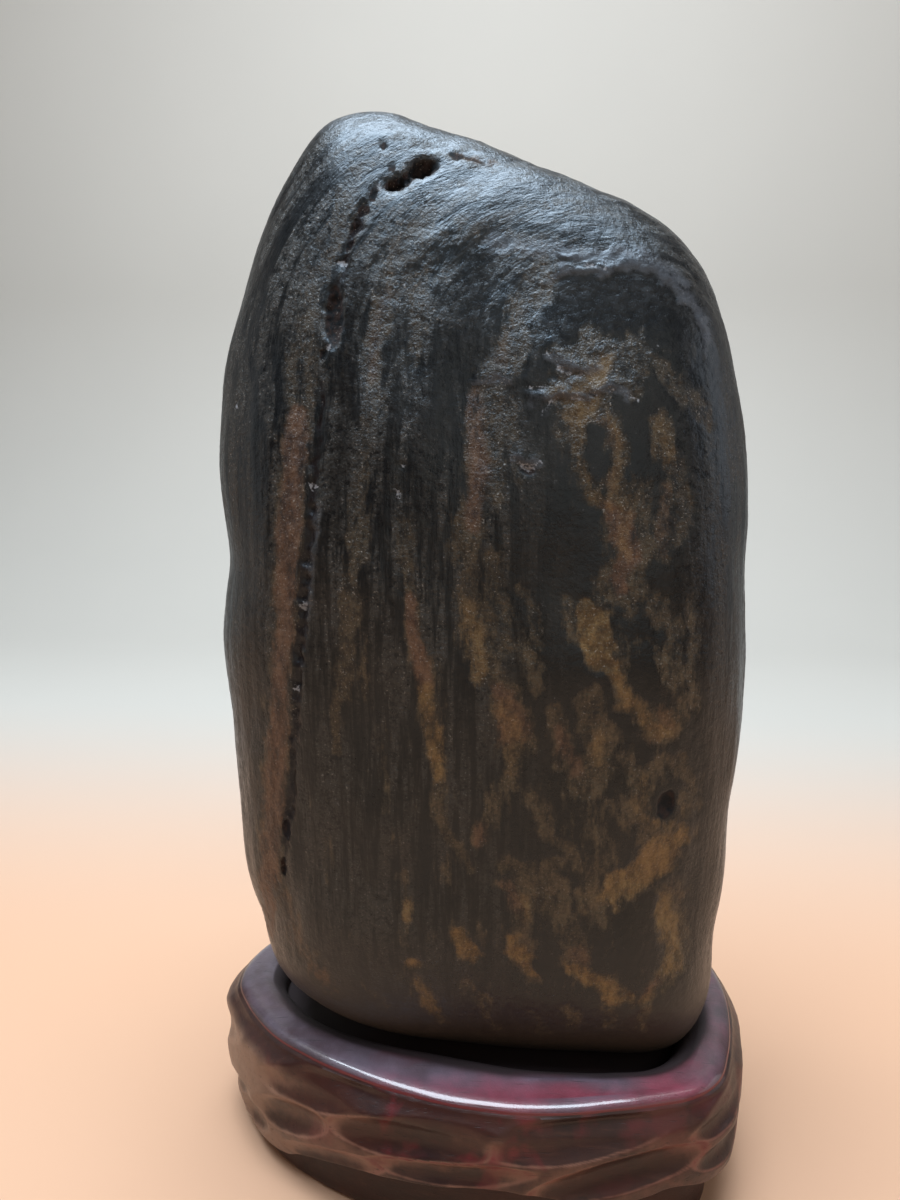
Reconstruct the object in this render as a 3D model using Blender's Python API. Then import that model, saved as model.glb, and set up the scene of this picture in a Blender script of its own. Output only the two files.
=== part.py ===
"""A scholar's rock standing in its carved wooden stand.

Two pieces: one water-worn stone, and one stand carved from a single block of
wood. The seat in the top of the stand is cut to the stone, which only rests in
it. Metres, +Z up, origin on the table under the middle of the stand, the long
side of the stand along X and the face of the stone towards -Y.
"""

import math

import bmesh
import bpy
from mathutils import Matrix, Vector, noise
from mathutils.bvhtree import BVHTree

MM = 0.001

# ---------------------------------------------------------------- stand, in millimetres
STAND_HEIGHT = 35.0
SEAT_DEPTH = 4.6
STAND_SIDES = 108

# The outer edge of the rim seen from above, round from its right end: distance
# right of the middle, and behind it.
RIM_OUTLINE = (
    (59.0, 0.0), (58.0, 12.0), (54.0, 23.0), (46.0, 31.0), (35.0, 35.5), (20.0, 38.0),
    (3.0, 38.2), (-14.0, 36.5), (-30.0, 32.0), (-43.0, 26.0), (-52.5, 17.0), (-58.0, 7.0),
    (-58.5, -3.0), (-54.5, -10.5), (-46.5, -19.5), (-36.0, -26.3), (-25.0, -31.3),
    (-13.0, -35.2), (0.0, -37.8), (12.0, -38.4), (25.0, -36.8), (36.0, -34.5),
    (45.5, -31.5), (51.5, -26.5), (55.0, -19.0), (57.8, -9.0),
)
RIM_WIDTH = 8.2
RIM_WIDER_IN_FRONT = 2.0
RIM_DISH = 0.6
EDGE_ROUND = 1.3
SEAT_WALL_SLOPE = 1.5

# The wall swells out just under the rim and draws in again to a wavy skirt, with
# a plain plinth set back under it.
WALL_SWELL = 3.3
SWELL_LEFT = 0.4
SWELL_DROP = 6.0
SWELL_FROM, SWELL_FULL = -4.0, 19.0
BAND_UNDER_RIM = 2.2
WALL_ROWS = 12
SKIRT_OVERHANG = 1.6
SKIRT_LIP = 1.2
SKIRT_UNDERCUT = 0.3
FOOT_CHAMFER = 0.8
PLINTH_SET_BACK = 2.2
PLINTH_SET_BACK_RIGHT = 1.0

# Height of the skirt's lower edge, by the angle round the stand in degrees.
SKIRT_EDGE = (
    (5, 11.5), (25, 9.5), (50, 12.0), (70, 15.5), (88, 14.0), (105, 17.0), (125, 15.5),
    (145, 12.0), (160, 8.0), (180, 5.5), (199, 5.0), (210, 6.7), (214, 8.8), (223, 11.3),
    (241, 14.9), (260, 16.9), (278, 18.4), (292, 16.1), (303, 12.8), (314, 14.4),
    (319, 15.7), (327, 14.3), (345, 13.5),
)

# Gouge cuts in the wall: angle round the stand in degrees, height, half its
# length, half its width, rise along it, and depth. They fade out under the rim.
GOUGE_FADE = (STAND_HEIGHT - 4.0, STAND_HEIGHT - 1.5)
GOUGE_CUTS = (
    (198, 9.5, 8, 4.6, 0.30, 2.0), (213, 18.6, 12, 4.8, 0.30, 2.3),
    (222, 28.6, 17, 4.8, 0.22, 2.1), (226, 13.6, 15, 3.2, 0.30, 1.3),
    (252, 25.6, 19, 5.0, 0.13, 2.5), (263, 20.2, 18, 3.2, 0.13, 1.3),
    (299, 29.4, 20, 4.9, 0.13, 2.4), (308, 20.4, 19, 4.7, 0.17, 2.6),
    (332, 28.0, 12, 3.6, 0.10, 1.9), (334, 19.3, 13, 3.9, -0.05, 2.2),
    (356, 24.5, 13, 4.5, -0.15, 2.1), (8, 15.5, 14, 4.4, 0.10, 2.0),
    (21, 27.0, 13, 4.3, 0.12, 2.1), (40, 19.5, 16, 4.8, 0.15, 2.4),
    (60, 28.2, 16, 4.7, -0.12, 2.3), (78, 20.5, 17, 4.5, 0.10, 2.3),
    (97, 28.0, 17, 4.9, 0.12, 2.4), (116, 20.8, 16, 4.4, -0.12, 2.3),
    (134, 28.2, 15, 4.7, 0.12, 2.2), (148, 17.5, 14, 4.8, -0.20, 2.3),
    (163, 26.5, 12, 4.5, 0.10, 2.1), (172, 13.5, 11, 4.6, -0.15, 2.0),
    (184, 24.0, 15, 5.4, 0.45, 1.3), (190, 12.0, 10, 3.4, 0.40, 1.6),
)

# ---------------------------------------------------------------- stone, in millimetres
# A pillow drawn round the outline, thinner towards its top, with broad swellings.
STONE_CENTRE = 125.0
STONE_HALF_SIZE = (56.0, 32.0, 97.0)
STONE_FRONT_DEPTH = 33.0
STONE_BACK_DEPTH = 30.0
STONE_ROUNDNESS = 2.7
FOOT_SQUARENESS = 1.5
THINNER_AT_TOP = 0.26
THINNER_AT_FOOT = 0.06
STONE_CUTS = (16, 10, 30)
SEAT_GAP = 0.35

# The outline of the stone seen from the front, round from its right flank:
# distance right of the middle, and height above the table.
STONE_OUTLINE = (
    (54.8, 125.0), (54.0, 150.0), (50.7, 169.5), (46.8, 186.0), (40.7, 200.0),
    (29.0, 208.3), (13.8, 213.7), (-6.0, 220.5), (-19.5, 224.8), (-29.5, 223.5),
    (-37.0, 216.0), (-43.8, 204.5), (-50.5, 188.0), (-53.2, 170.0), (-53.4, 151.5),
    (-53.4, 137.0), (-55.6, 112.0), (-53.4, 86.0), (-50.9, 60.0), (-46.0, 45.5),
    (-36.5, 38.0), (-20.0, 32.0), (0.0, 30.0), (25.0, 29.5), (44.0, 30.5),
    (51.3, 39.0), (54.0, 60.0), (54.8, 92.0),
)

# Pits worn into the face of the stone: distance right of the middle, height, half
# the length, half the width, depth, and turn of the length from level in degrees.
PITS = (
    (-12.5, 211.0, 5.6, 2.2, 2.4, 36), (-18.0, 216.4, 1.5, 0.8, 0.8, 30),
    (-0.5, 214.3, 5.2, 1.5, 0.8, -18), (-21.0, 205.3, 2.4, 1.1, 1.1, 68),
    (-22.9, 200.4, 2.1, 1.0, 1.0, 72), (-24.4, 195.6, 1.3, 0.8, 0.7, 75),
    (-26.2, 186.6, 5.0, 1.5, 1.7, 92), (20.5, 170.6, 9.0, 4.2, 0.7, -4),
    (9.0, 159.8, 3.2, 2.0, 0.5, -20),
)

# The long groove down the left of the face: distance right of the middle, and height.
GROOVE = (
    (-27.6, 178.0), (-28.4, 171.0), (-29.1, 164.0), (-30.3, 150.0), (-31.9, 142.0),
    (-33.4, 125.0), (-35.0, 111.0), (-37.1, 93.5), (-39.4, 76.0),
)
GROOVE_RADIUS = 1.5
GROOVE_DEPTH = 0.7
GROOVE_THIN_END = 0.35


def smooth_step(low, high, value):
    """0 below low, 1 above high, and a smooth turn between them."""
    share = min(1.0, max(0.0, (value - low) / (high - low)))
    return share * share * (3 - 2 * share)


class Ring:
    """A value for every angle, running smoothly through a ring of knots."""

    def __init__(self, knots):
        self.knots = sorted((angle % math.tau, value) for angle, value in knots)

    def knot(self, index):
        turns, place = divmod(index, len(self.knots))
        angle, value = self.knots[place]
        return angle + turns * math.tau, value

    def at(self, angle):
        angle %= math.tau
        after = sum(1 for knot, _ in self.knots if knot <= angle)
        (a0, v0), (a1, v1), (a2, v2), (a3, v3) = [self.knot(after + step) for step in (-2, -1, 0, 1)]
        span = a2 - a1
        share = (angle - a1) / span
        slope1 = (v2 - v0) / (a2 - a0) * span
        slope2 = (v3 - v1) / (a3 - a1) * span
        return (
            v1 * (1 + 2 * share) * (1 - share) ** 2
            + slope1 * share * (1 - share) ** 2
            + v2 * share**2 * (3 - 2 * share)
            + slope2 * share**2 * (share - 1)
        )


def outline(points, middle=(0.0, 0.0)):
    """The distance from the middle to a closed line through the points."""
    return Ring(
        (math.atan2(v - middle[1], u - middle[0]), math.dist((u, v), middle)) for u, v in points
    )


RIM = outline(RIM_OUTLINE)
SKIRT = Ring((math.radians(angle), height) for angle, height in SKIRT_EDGE)
STONE = outline(STONE_OUTLINE, (0.0, STONE_CENTRE))


# ---------------------------------------------------------------- the stand
def stand_place(angle, offset=0.0, height=0.0):
    """The place at an angle round the stand, an offset out from the rim and a height."""
    radius = RIM.at(angle) + offset
    return Vector((radius * math.cos(angle), radius * math.sin(angle), height))


def gouge_depth(angle, height):
    """Depth of the gouge cuts at a place on the wall. They meet in sharp ridges."""
    deepest = 0.0
    for degrees, level, half_length, half_width, rise, depth in GOUGE_CUTS:
        middle = math.radians(degrees)
        turn = (angle - middle + math.pi) % math.tau - math.pi
        if abs(turn) > 1:
            continue
        along = math.copysign((stand_place(angle) - stand_place(middle)).length, turn)
        across = height - level - rise * along
        away = (along / half_length) ** 2 + (across / half_width) ** 2
        deepest = max(deepest, depth * (1 - away))
    return deepest * (1 - smooth_step(*GOUGE_FADE, height))


def plinth_offset(angle):
    return -PLINTH_SET_BACK - PLINTH_SET_BACK_RIGHT * math.cos(angle)


def wall_place(angle, share):
    """Offset from the rim and height, at a share of the way up the carved wall."""
    low = SKIRT.at(angle)
    height = low + (STAND_HEIGHT - BAND_UNDER_RIM - low) * share
    swell = WALL_SWELL - SWELL_LEFT * math.cos(angle)
    swell *= smooth_step(0, SWELL_DROP, STAND_HEIGHT - height)
    foot = plinth_offset(angle) + SKIRT_OVERHANG
    offset = foot + (swell - foot) * smooth_step(SWELL_FROM, SWELL_FULL, height)
    return offset - gouge_depth(angle, height), height


def rim_width(angle):
    return RIM_WIDTH + RIM_WIDER_IN_FRONT * max(0.0, -math.sin(angle)) ** 2


def stand_rings():
    """Rings of the stand from its underside up and over into the seat.

    Each gives the offset from the rim's outer edge and the height at an angle.
    """
    yield lambda angle: (plinth_offset(angle) - FOOT_CHAMFER, 0)
    yield lambda angle: (plinth_offset(angle), FOOT_CHAMFER)
    yield lambda angle: (plinth_offset(angle), SKIRT.at(angle) - SKIRT_UNDERCUT)
    yield lambda angle: (wall_place(angle, 0)[0] - SKIRT_LIP, SKIRT.at(angle) - SKIRT_UNDERCUT)
    for row in range(WALL_ROWS):
        yield lambda angle, share=row / (WALL_ROWS - 1): wall_place(angle, share)
    yield lambda angle: (0.0, STAND_HEIGHT - EDGE_ROUND)
    yield lambda angle: (-0.3 * EDGE_ROUND, STAND_HEIGHT - 0.4 * EDGE_ROUND)
    yield lambda angle: (-EDGE_ROUND, STAND_HEIGHT)
    yield lambda angle: (-rim_width(angle), STAND_HEIGHT - RIM_DISH)
    yield lambda angle: (-rim_width(angle) - SEAT_WALL_SLOPE, STAND_HEIGHT - SEAT_DEPTH)


def drawn_body(bm, sides, rings):
    """A closed body drawn ring by ring from a disc. A ring gives the place for an angle."""
    bmesh.ops.create_circle(bm, cap_ends=True, segments=sides, radius=1)
    turn = bm.verts.layers.float.new("turn")
    for vert in bm.verts:
        vert[turn] = math.atan2(vert.co.y, vert.co.x)
    edges = bm.edges[:]
    for index, ring in enumerate(rings):
        if index:
            made = bmesh.ops.extrude_edge_only(bm, edges=edges)["geom"]
            edges = [item for item in made if isinstance(item, bmesh.types.BMEdge)]
            edges = [edge for edge in edges if edge.is_boundary]
        for vert in {vert for edge in edges for vert in edge.verts}:
            vert.co = ring(vert[turn])
    bmesh.ops.contextual_create(bm, geom=edges)
    bm.verts.layers.float.remove(turn)
    bmesh.ops.recalc_face_normals(bm, faces=bm.faces)


def make_stand(collection, material):
    bm = bmesh.new()
    rings = (lambda angle, ring=ring: stand_place(angle, *ring(angle)) for ring in stand_rings())
    drawn_body(bm, STAND_SIDES, rings)
    return new_object("stand", bm, collection, material)


# ---------------------------------------------------------------- the stone
def stone_squareness(angle):
    """Power of the pillow section: soft all round, and squarer where the stone stands."""
    return STONE_ROUNDNESS + FOOT_SQUARENESS * smooth_step(0.80, 0.97, -math.sin(angle))


def stone_thinning(height):
    """How the depth of the stone falls off towards its top and a little to its foot."""
    to_top = smooth_step(120, 225, height)
    to_foot = smooth_step(-100, -30, -height)
    return 1.0 - THINNER_AT_TOP * to_top - THINNER_AT_FOOT * to_foot


def stone_point(direction):
    """The point of the stone's skin that lies in a direction from its centre."""
    x, y, z = direction
    angle = math.atan2(z, x)
    power = stone_squareness(angle)
    depth = STONE_FRONT_DEPTH if y < 0 else STONE_BACK_DEPTH
    reach = math.hypot(x, z) / STONE.at(angle)
    scale = (reach**power + (abs(y) / depth) ** power) ** (-1 / power)
    height = STONE_CENTRE + z * scale
    return Vector((x * scale, y * scale * stone_thinning(height), height))


def swelling(point):
    """Broad worn hollows and swellings of the stone, in millimetres outwards."""
    broad = 1.5 * noise.noise(point / 42 + Vector((3.1, 0.4, 7.7)))
    small = 0.7 * noise.noise(point / 17 + Vector((9.2, 5.5, 1.3)))
    return (broad + small) * smooth_step(STAND_HEIGHT - 3, STAND_HEIGHT + 25, point.z)


def gridded_cube(bm, cuts):
    """A cube whose edges along each axis are cut that many times."""
    bmesh.ops.create_cube(bm, size=2)
    for axis, count in enumerate(cuts):
        ends = [(edge, edge.verts[0].co, edge.verts[1].co) for edge in bm.edges]
        along = [edge for edge, start, end in ends if abs(start[axis] - end[axis]) > 1.5]
        bmesh.ops.subdivide_edges(bm, edges=along, cuts=count, use_grid_fill=True)


def stone_body():
    """The whole skin of the stone, before its pits."""
    bm = bmesh.new()
    gridded_cube(bm, STONE_CUTS)
    for vert in bm.verts:
        vert.co = stone_point(vert.co.normalized() * Vector(STONE_HALF_SIZE))
    bm.normal_update()
    places = {vert: vert.co + vert.normal * swelling(vert.co) for vert in bm.verts}
    for vert, place in places.items():
        vert.co = place
    bmesh.ops.recalc_face_normals(bm, faces=bm.faces)
    return bm


def make_stone(collection, material):
    return new_object("stone", stone_body(), collection, material)


def seat_cutter(collection):
    """The foot of the stone, grown by the gap it needs to drop into its seat."""
    bm = stone_body()
    geom = bm.verts[:] + bm.edges[:] + bm.faces[:]
    top = (0, 0, STAND_HEIGHT + 15)
    bmesh.ops.bisect_plane(bm, geom=geom, plane_co=top, plane_no=(0, 0, 1), clear_outer=True)
    bm.normal_update()
    for vert in bm.verts:
        vert.co += vert.normal * SEAT_GAP
    bmesh.ops.holes_fill(bm, edges=[edge for edge in bm.edges if edge.is_boundary])
    bmesh.ops.recalc_face_normals(bm, faces=bm.faces)
    return new_object("seat_cutter", bm, collection)


def face_of_stone():
    """A finder for the place and the outward direction at a spot on the face of the stone."""
    body = stone_body()
    tree = BVHTree.FromBMesh(body)
    body.free()
    return lambda across, height: tree.ray_cast(Vector((across, -200, height)), Vector((0, 1, 0)))[:2]


def pit_cutter(collection):
    """Lens-shaped bodies, one over each pit in the face of the stone."""
    spot = face_of_stone()
    bm = bmesh.new()
    for across, height, half_length, half_width, depth, turn in PITS:
        place, outward = spot(across, height)
        facing = outward.to_track_quat("Z", "Y").to_matrix()
        run = math.radians(turn)
        run_on_face = facing.inverted() @ Vector((math.cos(run), 0, math.sin(run)))
        turned = Matrix.Rotation(math.atan2(run_on_face.y, run_on_face.x), 3, "Z")
        size = Matrix.Diagonal((half_length * 1.15, half_width * 1.15, depth * 2))
        lens = Matrix.Translation(place + outward * depth) @ (facing @ turned @ size).to_4x4()
        bmesh.ops.create_uvsphere(bm, u_segments=12, v_segments=8, radius=1, matrix=lens)
    bmesh.ops.recalc_face_normals(bm, faces=bm.faces)
    return new_object("pit_cutter", bm, collection)


def groove_cutter(collection):
    """A round rod laid along the groove and sunk into the face, thin at both ends."""
    spot = face_of_stone()
    spots = [spot(across, height) for across, height in GROOVE]

    def ring(index, angle):
        place, outward = spots[index]
        ahead = (spots[min(index + 1, len(spots) - 1)][0] - spots[max(index - 1, 0)][0]).normalized()
        thickness = GROOVE_THIN_END if index in (0, len(spots) - 1) else 1.0
        middle = place + outward * thickness * (GROOVE_RADIUS - GROOVE_DEPTH)
        spoke = math.cos(angle) * outward + math.sin(angle) * outward.cross(ahead)
        return middle + spoke * thickness * GROOVE_RADIUS

    bm = bmesh.new()
    drawn_body(bm, 8, (lambda angle, index=index: ring(index, angle) for index in range(len(spots))))
    return new_object("groove_cutter", bm, collection)


# ---------------------------------------------------------------- objects
def new_object(name, bm, collection, material=None):
    """A smooth object from a bmesh in millimetres, with sharp edges where it folds."""
    bmesh.ops.scale(bm, vec=(MM, MM, MM), verts=bm.verts)
    mesh = bpy.data.meshes.new(name)
    bm.to_mesh(mesh)
    bm.free()
    mesh.shade_smooth()
    mesh.set_sharp_from_angle(angle=math.radians(40))
    if material:
        mesh.materials.append(material)
    obj = bpy.data.objects.new(name, mesh)
    collection.objects.link(obj)
    return obj


def new_collection(name):
    collection = bpy.data.collections.new(name)
    bpy.context.scene.collection.children.link(collection)
    return collection


def new_material(name, colour, roughness):
    material = bpy.data.materials.new(name)
    material.use_nodes = True
    shader = material.node_tree.nodes["Principled BSDF"]
    shader.inputs["Base Color"].default_value = (*colour, 1)
    shader.inputs["Roughness"].default_value = roughness
    shader.inputs["Metallic"].default_value = 0
    return material


def cut(obj, cutter):
    """Take the cutter's shape out of the object, and keep the cutter out of sight."""
    cutter.hide_render = True
    cutter.display_type = "WIRE"
    modifier = obj.modifiers.new(cutter.name, "BOOLEAN")
    modifier.operation = "DIFFERENCE"
    modifier.solver = "EXACT"
    modifier.object = cutter


def main():
    for old in list(bpy.data.objects):
        bpy.data.objects.remove(old)
    pieces = new_collection("scholars_rock")
    cutters = new_collection("cutters")
    wood = new_material("lacquered_wood", (0.085, 0.022, 0.018), 0.22)
    rock = new_material("dark_river_stone", (0.040, 0.034, 0.029), 0.5)
    stand = make_stand(pieces, wood)
    stone = make_stone(pieces, rock)
    cut(stand, seat_cutter(cutters))
    cut(stone, pit_cutter(cutters))
    cut(stone, groove_cutter(cutters))


main()
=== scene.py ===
"""The look of a scholar's rock standing in its carved wooden stand."""

import math

import bmesh
import bpy
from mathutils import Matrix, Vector, noise
from mathutils.bvhtree import BVHTree


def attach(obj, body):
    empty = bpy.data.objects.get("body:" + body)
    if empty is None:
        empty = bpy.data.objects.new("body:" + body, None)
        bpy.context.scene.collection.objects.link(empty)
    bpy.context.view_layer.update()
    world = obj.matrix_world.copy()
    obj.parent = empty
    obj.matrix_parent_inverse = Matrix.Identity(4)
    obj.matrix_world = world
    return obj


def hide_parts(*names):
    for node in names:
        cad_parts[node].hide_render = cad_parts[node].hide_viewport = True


MM = 0.001
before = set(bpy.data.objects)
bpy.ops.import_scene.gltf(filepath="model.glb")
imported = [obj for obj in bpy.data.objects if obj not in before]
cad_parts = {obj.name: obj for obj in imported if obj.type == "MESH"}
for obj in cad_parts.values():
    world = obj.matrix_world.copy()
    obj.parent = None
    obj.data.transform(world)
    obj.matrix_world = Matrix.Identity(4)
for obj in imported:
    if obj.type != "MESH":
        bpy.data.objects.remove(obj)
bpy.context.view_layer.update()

# ---------------------------------------------------------------- stand, in millimetres
STAND_HEIGHT = 35.0
SEAT_DEPTH = 4.6
STAND_SIDES = 640

# The rim seen from above, round from its right end.
RIM_OUTLINE = (
    (59.0, 0.0), (58.0, 12.0), (54.0, 23.0), (46.0, 31.0), (35.0, 35.5), (20.0, 38.0),
    (3.0, 38.2), (-14.0, 36.5), (-30.0, 32.0), (-43.0, 26.0), (-52.5, 17.0), (-58.0, 7.0),
    (-58.5, -3.0), (-54.5, -10.5), (-46.5, -19.5), (-36.0, -26.3), (-25.0, -31.3),
    (-13.0, -35.2), (0.0, -37.8), (12.0, -38.4), (25.0, -36.8), (36.0, -34.5),
    (45.5, -31.5), (51.5, -26.5), (55.0, -19.0), (57.8, -9.0),
)
RIM_WIDTH = 8.2
RIM_WIDER_IN_FRONT = 2.0

# The rim's outer edge: a broad soft shoulder, then a tighter turn down to the band.
SHOULDER_ROUND = 4.0
SHOULDER_TURN = math.radians(40)
EDGE_ROUND = 0.5
EDGE_OUT = -0.45
EDGE_TURNS = (90, 75, 60, 50, 40, 32, 24, 16, 8, 0)
RIM_CROWN = 0.40
RIM_INNER_DROP = 0.25
SEAT_WALL_SLOPE = 3.6

# The carved wall, the lip of its skirt and the plinth under it.
WALL_SWELL = 3.3
SWELL_LEFT = 0.4
SWELL_DROP = 6.0
SWELL_FROM, SWELL_FULL = -4.0, 19.0
BAND_UNDER_RIM = 2.2
SKIRT_OVERHANG = 1.6
SKIRT_LIP = 1.2
SKIRT_UNDERCUT = 0.3
FOOT_CHAMFER = 0.8
PLINTH_SET_BACK = 2.2
PLINTH_SET_BACK_RIGHT = 1.0
SEAT_GAP = 0.35

# How the rings of the stand are shared out.
WALL_ROWS = 72
LIP_ROWS = 5
RIM_ROWS = 15
SEAT_WALL_ROWS = 7
SEAT_ROWS = 13

# Ridges between the gouge cuts: how round they are, how far that reaches, and how wide
# they are worn.
RIDGE_ROUNDING = 0.20
ROUNDING_REACH = 0.9
RIDGE_WIDTH = 1.2

# Wear and painted light, from painted shade at -1 to bare wood at 1, and where they lie.
# Bare wood on ridges, shallows and hollows, whose tan is also painted reflection; the deep parts of
# each gouge stay darker as painted shade.
RIDGE_WEAR_AND_REFLECTION = 0.30
SHALLOW_LIGHT_DEEP_SHADE = 0.24
HOLLOW_REFLECTION = 0.14
# Painted shade in the lower half of each gouge.
LOWER_HALF_SHADE = -0.34
FOOT_WEAR = 0.3
# Painted shade on the plinth under the skirt.
PLINTH_SHADE = -0.12
LIP_WEAR = 0.42
BAND_WEAR = 0.3
EDGE_WEAR = 0.95
EDGE_WEAR_TURN = (34, 54)
# Painted shade round the stone: how far it reaches from the stone, and where it starts on the rim
# towards the seat.
SHADE_REACH = (1.0, 4.5)
SHADE_SHARE = (0.50, 1.05)
RED_PATCH = (22.0, 15.0)

# Height of the skirt's lower edge, by the angle round the stand in degrees.
SKIRT_EDGE = (
    (5, 11.5), (25, 9.5), (50, 12.0), (70, 15.5), (88, 14.0), (105, 17.0), (125, 15.5),
    (145, 12.0), (160, 8.0), (180, 5.5), (199, 5.0), (210, 6.7), (214, 8.8), (223, 11.3),
    (241, 14.9), (260, 16.9), (278, 18.4), (292, 16.1), (303, 12.8), (314, 14.4),
    (319, 15.7), (327, 14.3), (345, 13.5),
)

# Gouge cuts: angle round the stand in degrees, height, half length, half width,
# rise along the cut, and depth.
GOUGE_FADE = (STAND_HEIGHT - 4.0, STAND_HEIGHT - 1.5)
DARKER_TO_RIM = (STAND_HEIGHT - 10.0, STAND_HEIGHT - 4.0)
GOUGE_CUTS = (
    (198, 9.5, 8, 4.6, 0.30, 2.0), (213, 18.6, 12, 4.8, 0.30, 2.3),
    (222, 28.6, 17, 4.8, 0.22, 2.1), (226, 13.6, 15, 3.2, 0.30, 1.3),
    (252, 25.6, 19, 5.0, 0.13, 2.5), (263, 20.2, 18, 3.2, 0.13, 1.3),
    (299, 29.4, 20, 4.9, 0.13, 2.4), (308, 20.4, 19, 4.7, 0.17, 2.6),
    (332, 28.0, 12, 3.6, 0.10, 1.9), (334, 19.3, 13, 3.9, -0.05, 2.2),
    (356, 24.5, 13, 4.5, -0.15, 2.1), (8, 15.5, 14, 4.4, 0.10, 2.0),
    (21, 27.0, 13, 4.3, 0.12, 2.1), (40, 19.5, 16, 4.8, 0.15, 2.4),
    (60, 28.2, 16, 4.7, -0.12, 2.3), (78, 20.5, 17, 4.5, 0.10, 2.3),
    (97, 28.0, 17, 4.9, 0.12, 2.4), (116, 20.8, 16, 4.4, -0.12, 2.3),
    (134, 28.2, 15, 4.7, 0.12, 2.2), (148, 17.5, 14, 4.8, -0.20, 2.3),
    (163, 26.5, 12, 4.5, 0.10, 2.1), (172, 13.5, 11, 4.6, -0.15, 2.0),
    (184, 24.0, 15, 5.4, 0.45, 1.3), (190, 12.0, 10, 3.4, 0.40, 1.6),
)

# ---------------------------------------------------------------- stone, in millimetres
STONE_CENTRE = 125.0
STONE_HALF_SIZE = (56.0, 32.0, 97.0)
STONE_FRONT_DEPTH = 33.0
STONE_BACK_DEPTH = 30.0
STONE_ROUNDNESS = 2.7
FOOT_SQUARENESS = 1.5
THINNER_AT_TOP = 0.26
THINNER_AT_FOOT = 0.06
STONE_CUTS = (86, 33, 152)
FINER_FACE = (-0.22, 38.0)

# The stone seen from the front, round from its right flank.
STONE_OUTLINE = (
    (54.8, 125.0), (54.0, 150.0), (50.7, 169.5), (46.8, 186.0), (40.7, 200.0),
    (29.0, 208.3), (13.8, 213.7), (-6.0, 220.5), (-19.5, 224.8), (-29.5, 223.5),
    (-37.0, 216.0), (-43.8, 204.5), (-50.5, 188.0), (-53.2, 170.0), (-53.4, 151.5),
    (-53.4, 137.0), (-55.6, 112.0), (-53.4, 86.0), (-50.9, 60.0), (-46.0, 45.5),
    (-36.5, 38.0), (-20.0, 32.0), (0.0, 30.0), (25.0, 29.5), (44.0, 30.5),
    (51.3, 39.0), (54.0, 60.0), (54.8, 92.0),
)

# The layers of the stone wrap round a core line that goes down from this point.
CORE_TOP = (25.0, 182.0)
LAYERS_CLOSER_OVER_TOP = 1.385
LAYER_TURN_LENGTH = 45.0
LAYER_STRETCH = 0.08
LAYER_BACK_STRETCH = 0.9

# Ridges of the layers: lift, length along them, length towards the back, and shift.
LAYER_RIDGES = (
    (0.31, 6.5, 1.8, (0, 0, 0)), (0.14, 2.4, 1.3, (5, 1, 8)), (0.07, 1.3, 1.0, (2, 9, 4)),
)

# Pits in the face: distance right of the middle, height, half length, half width,
# depth, and turn of the length from level in degrees.
PITS = (
    (-11.0, 212.4, 3.6, 1.9, 2.6, 34), (-15.4, 209.4, 3.0, 1.2, 1.9, 24),
    (-13.4, 210.8, 1.6, 1.0, 1.6, 40), (-18.1, 216.6, 0.9, 0.6, 0.8, 30),
    (-16.5, 212.2, 1.5, 0.7, 0.35, 40), (-2.0, 214.4, 3.0, 0.9, 0.28, -14),
    (-5.0, 215.0, 2.2, 0.9, 0.35, -10), (1.6, 213.4, 1.8, 0.7, 0.22, -20),
    (-19.7, 207.3, 1.2, 0.8, 0.8, 60), (-21.3, 204.5, 1.3, 0.9, 0.8, 35),
    (-22.7, 201.5, 2.0, 1.0, 1.0, 68), (-23.7, 198.3, 1.4, 0.8, 0.8, 66),
    (-24.7, 195.6, 0.9, 0.6, 0.5, 60), (-26.3, 185.9, 6.3, 1.9, 1.5, 92),
    (-28.3, 178.7, 1.2, 0.8, 0.5, 80), (-38.5, 86.7, 2.4, 0.8, 0.7, 82),
    (-39.7, 77.6, 2.8, 0.8, 0.6, 82), (36.4, 95.6, 3.2, 2.2, 0.6, 82),
    (20.0, 171.9, 1.2, 0.5, 0.3, 5), (8.6, 158.8, 1.9, 1.1, 0.30, -10),
    (25.0, 163.2, 2.6, 1.0, 0.12, 84), (12.6, 174.6, 1.4, 0.6, 0.25, 20),
)

# The long groove down the left of the face: right of the middle, height, half width,
# and depth. Each box gives left, right, low and high.
GROOVE_BOX = (-46, -22, 70, 184)
GROOVE = (
    (-27.6, 178.0, 0.3, 0.1), (-28.4, 171.0, 0.5, 0.25), (-29.1, 164.0, 0.6, 0.3),
    (-30.3, 150.0, 0.9, 0.7), (-31.2, 143.0, 1.1, 0.9), (-32.2, 136.0, 1.1, 0.9),
    (-33.0, 129.0, 0.8, 0.5), (-33.8, 122.0, 1.0, 0.8), (-35.0, 111.0, 0.7, 0.5),
    (-36.2, 101.0, 0.7, 0.5), (-37.1, 93.5, 0.9, 0.6), (-38.5, 84.0, 0.7, 0.4),
    (-39.4, 76.0, 0.3, 0.12),
)

# The broken seam above it, in the same terms.
SEAM_BOX = (-28, -15, 190, 213)
SEAM = (
    (-19.4, 207.6, 0.3, 0.2), (-21.4, 204.4, 0.6, 0.4), (-22.8, 200.8, 0.7, 0.5),
    (-24.2, 196.0, 0.5, 0.3), (-25.6, 192.0, 0.3, 0.2),
)

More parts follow.
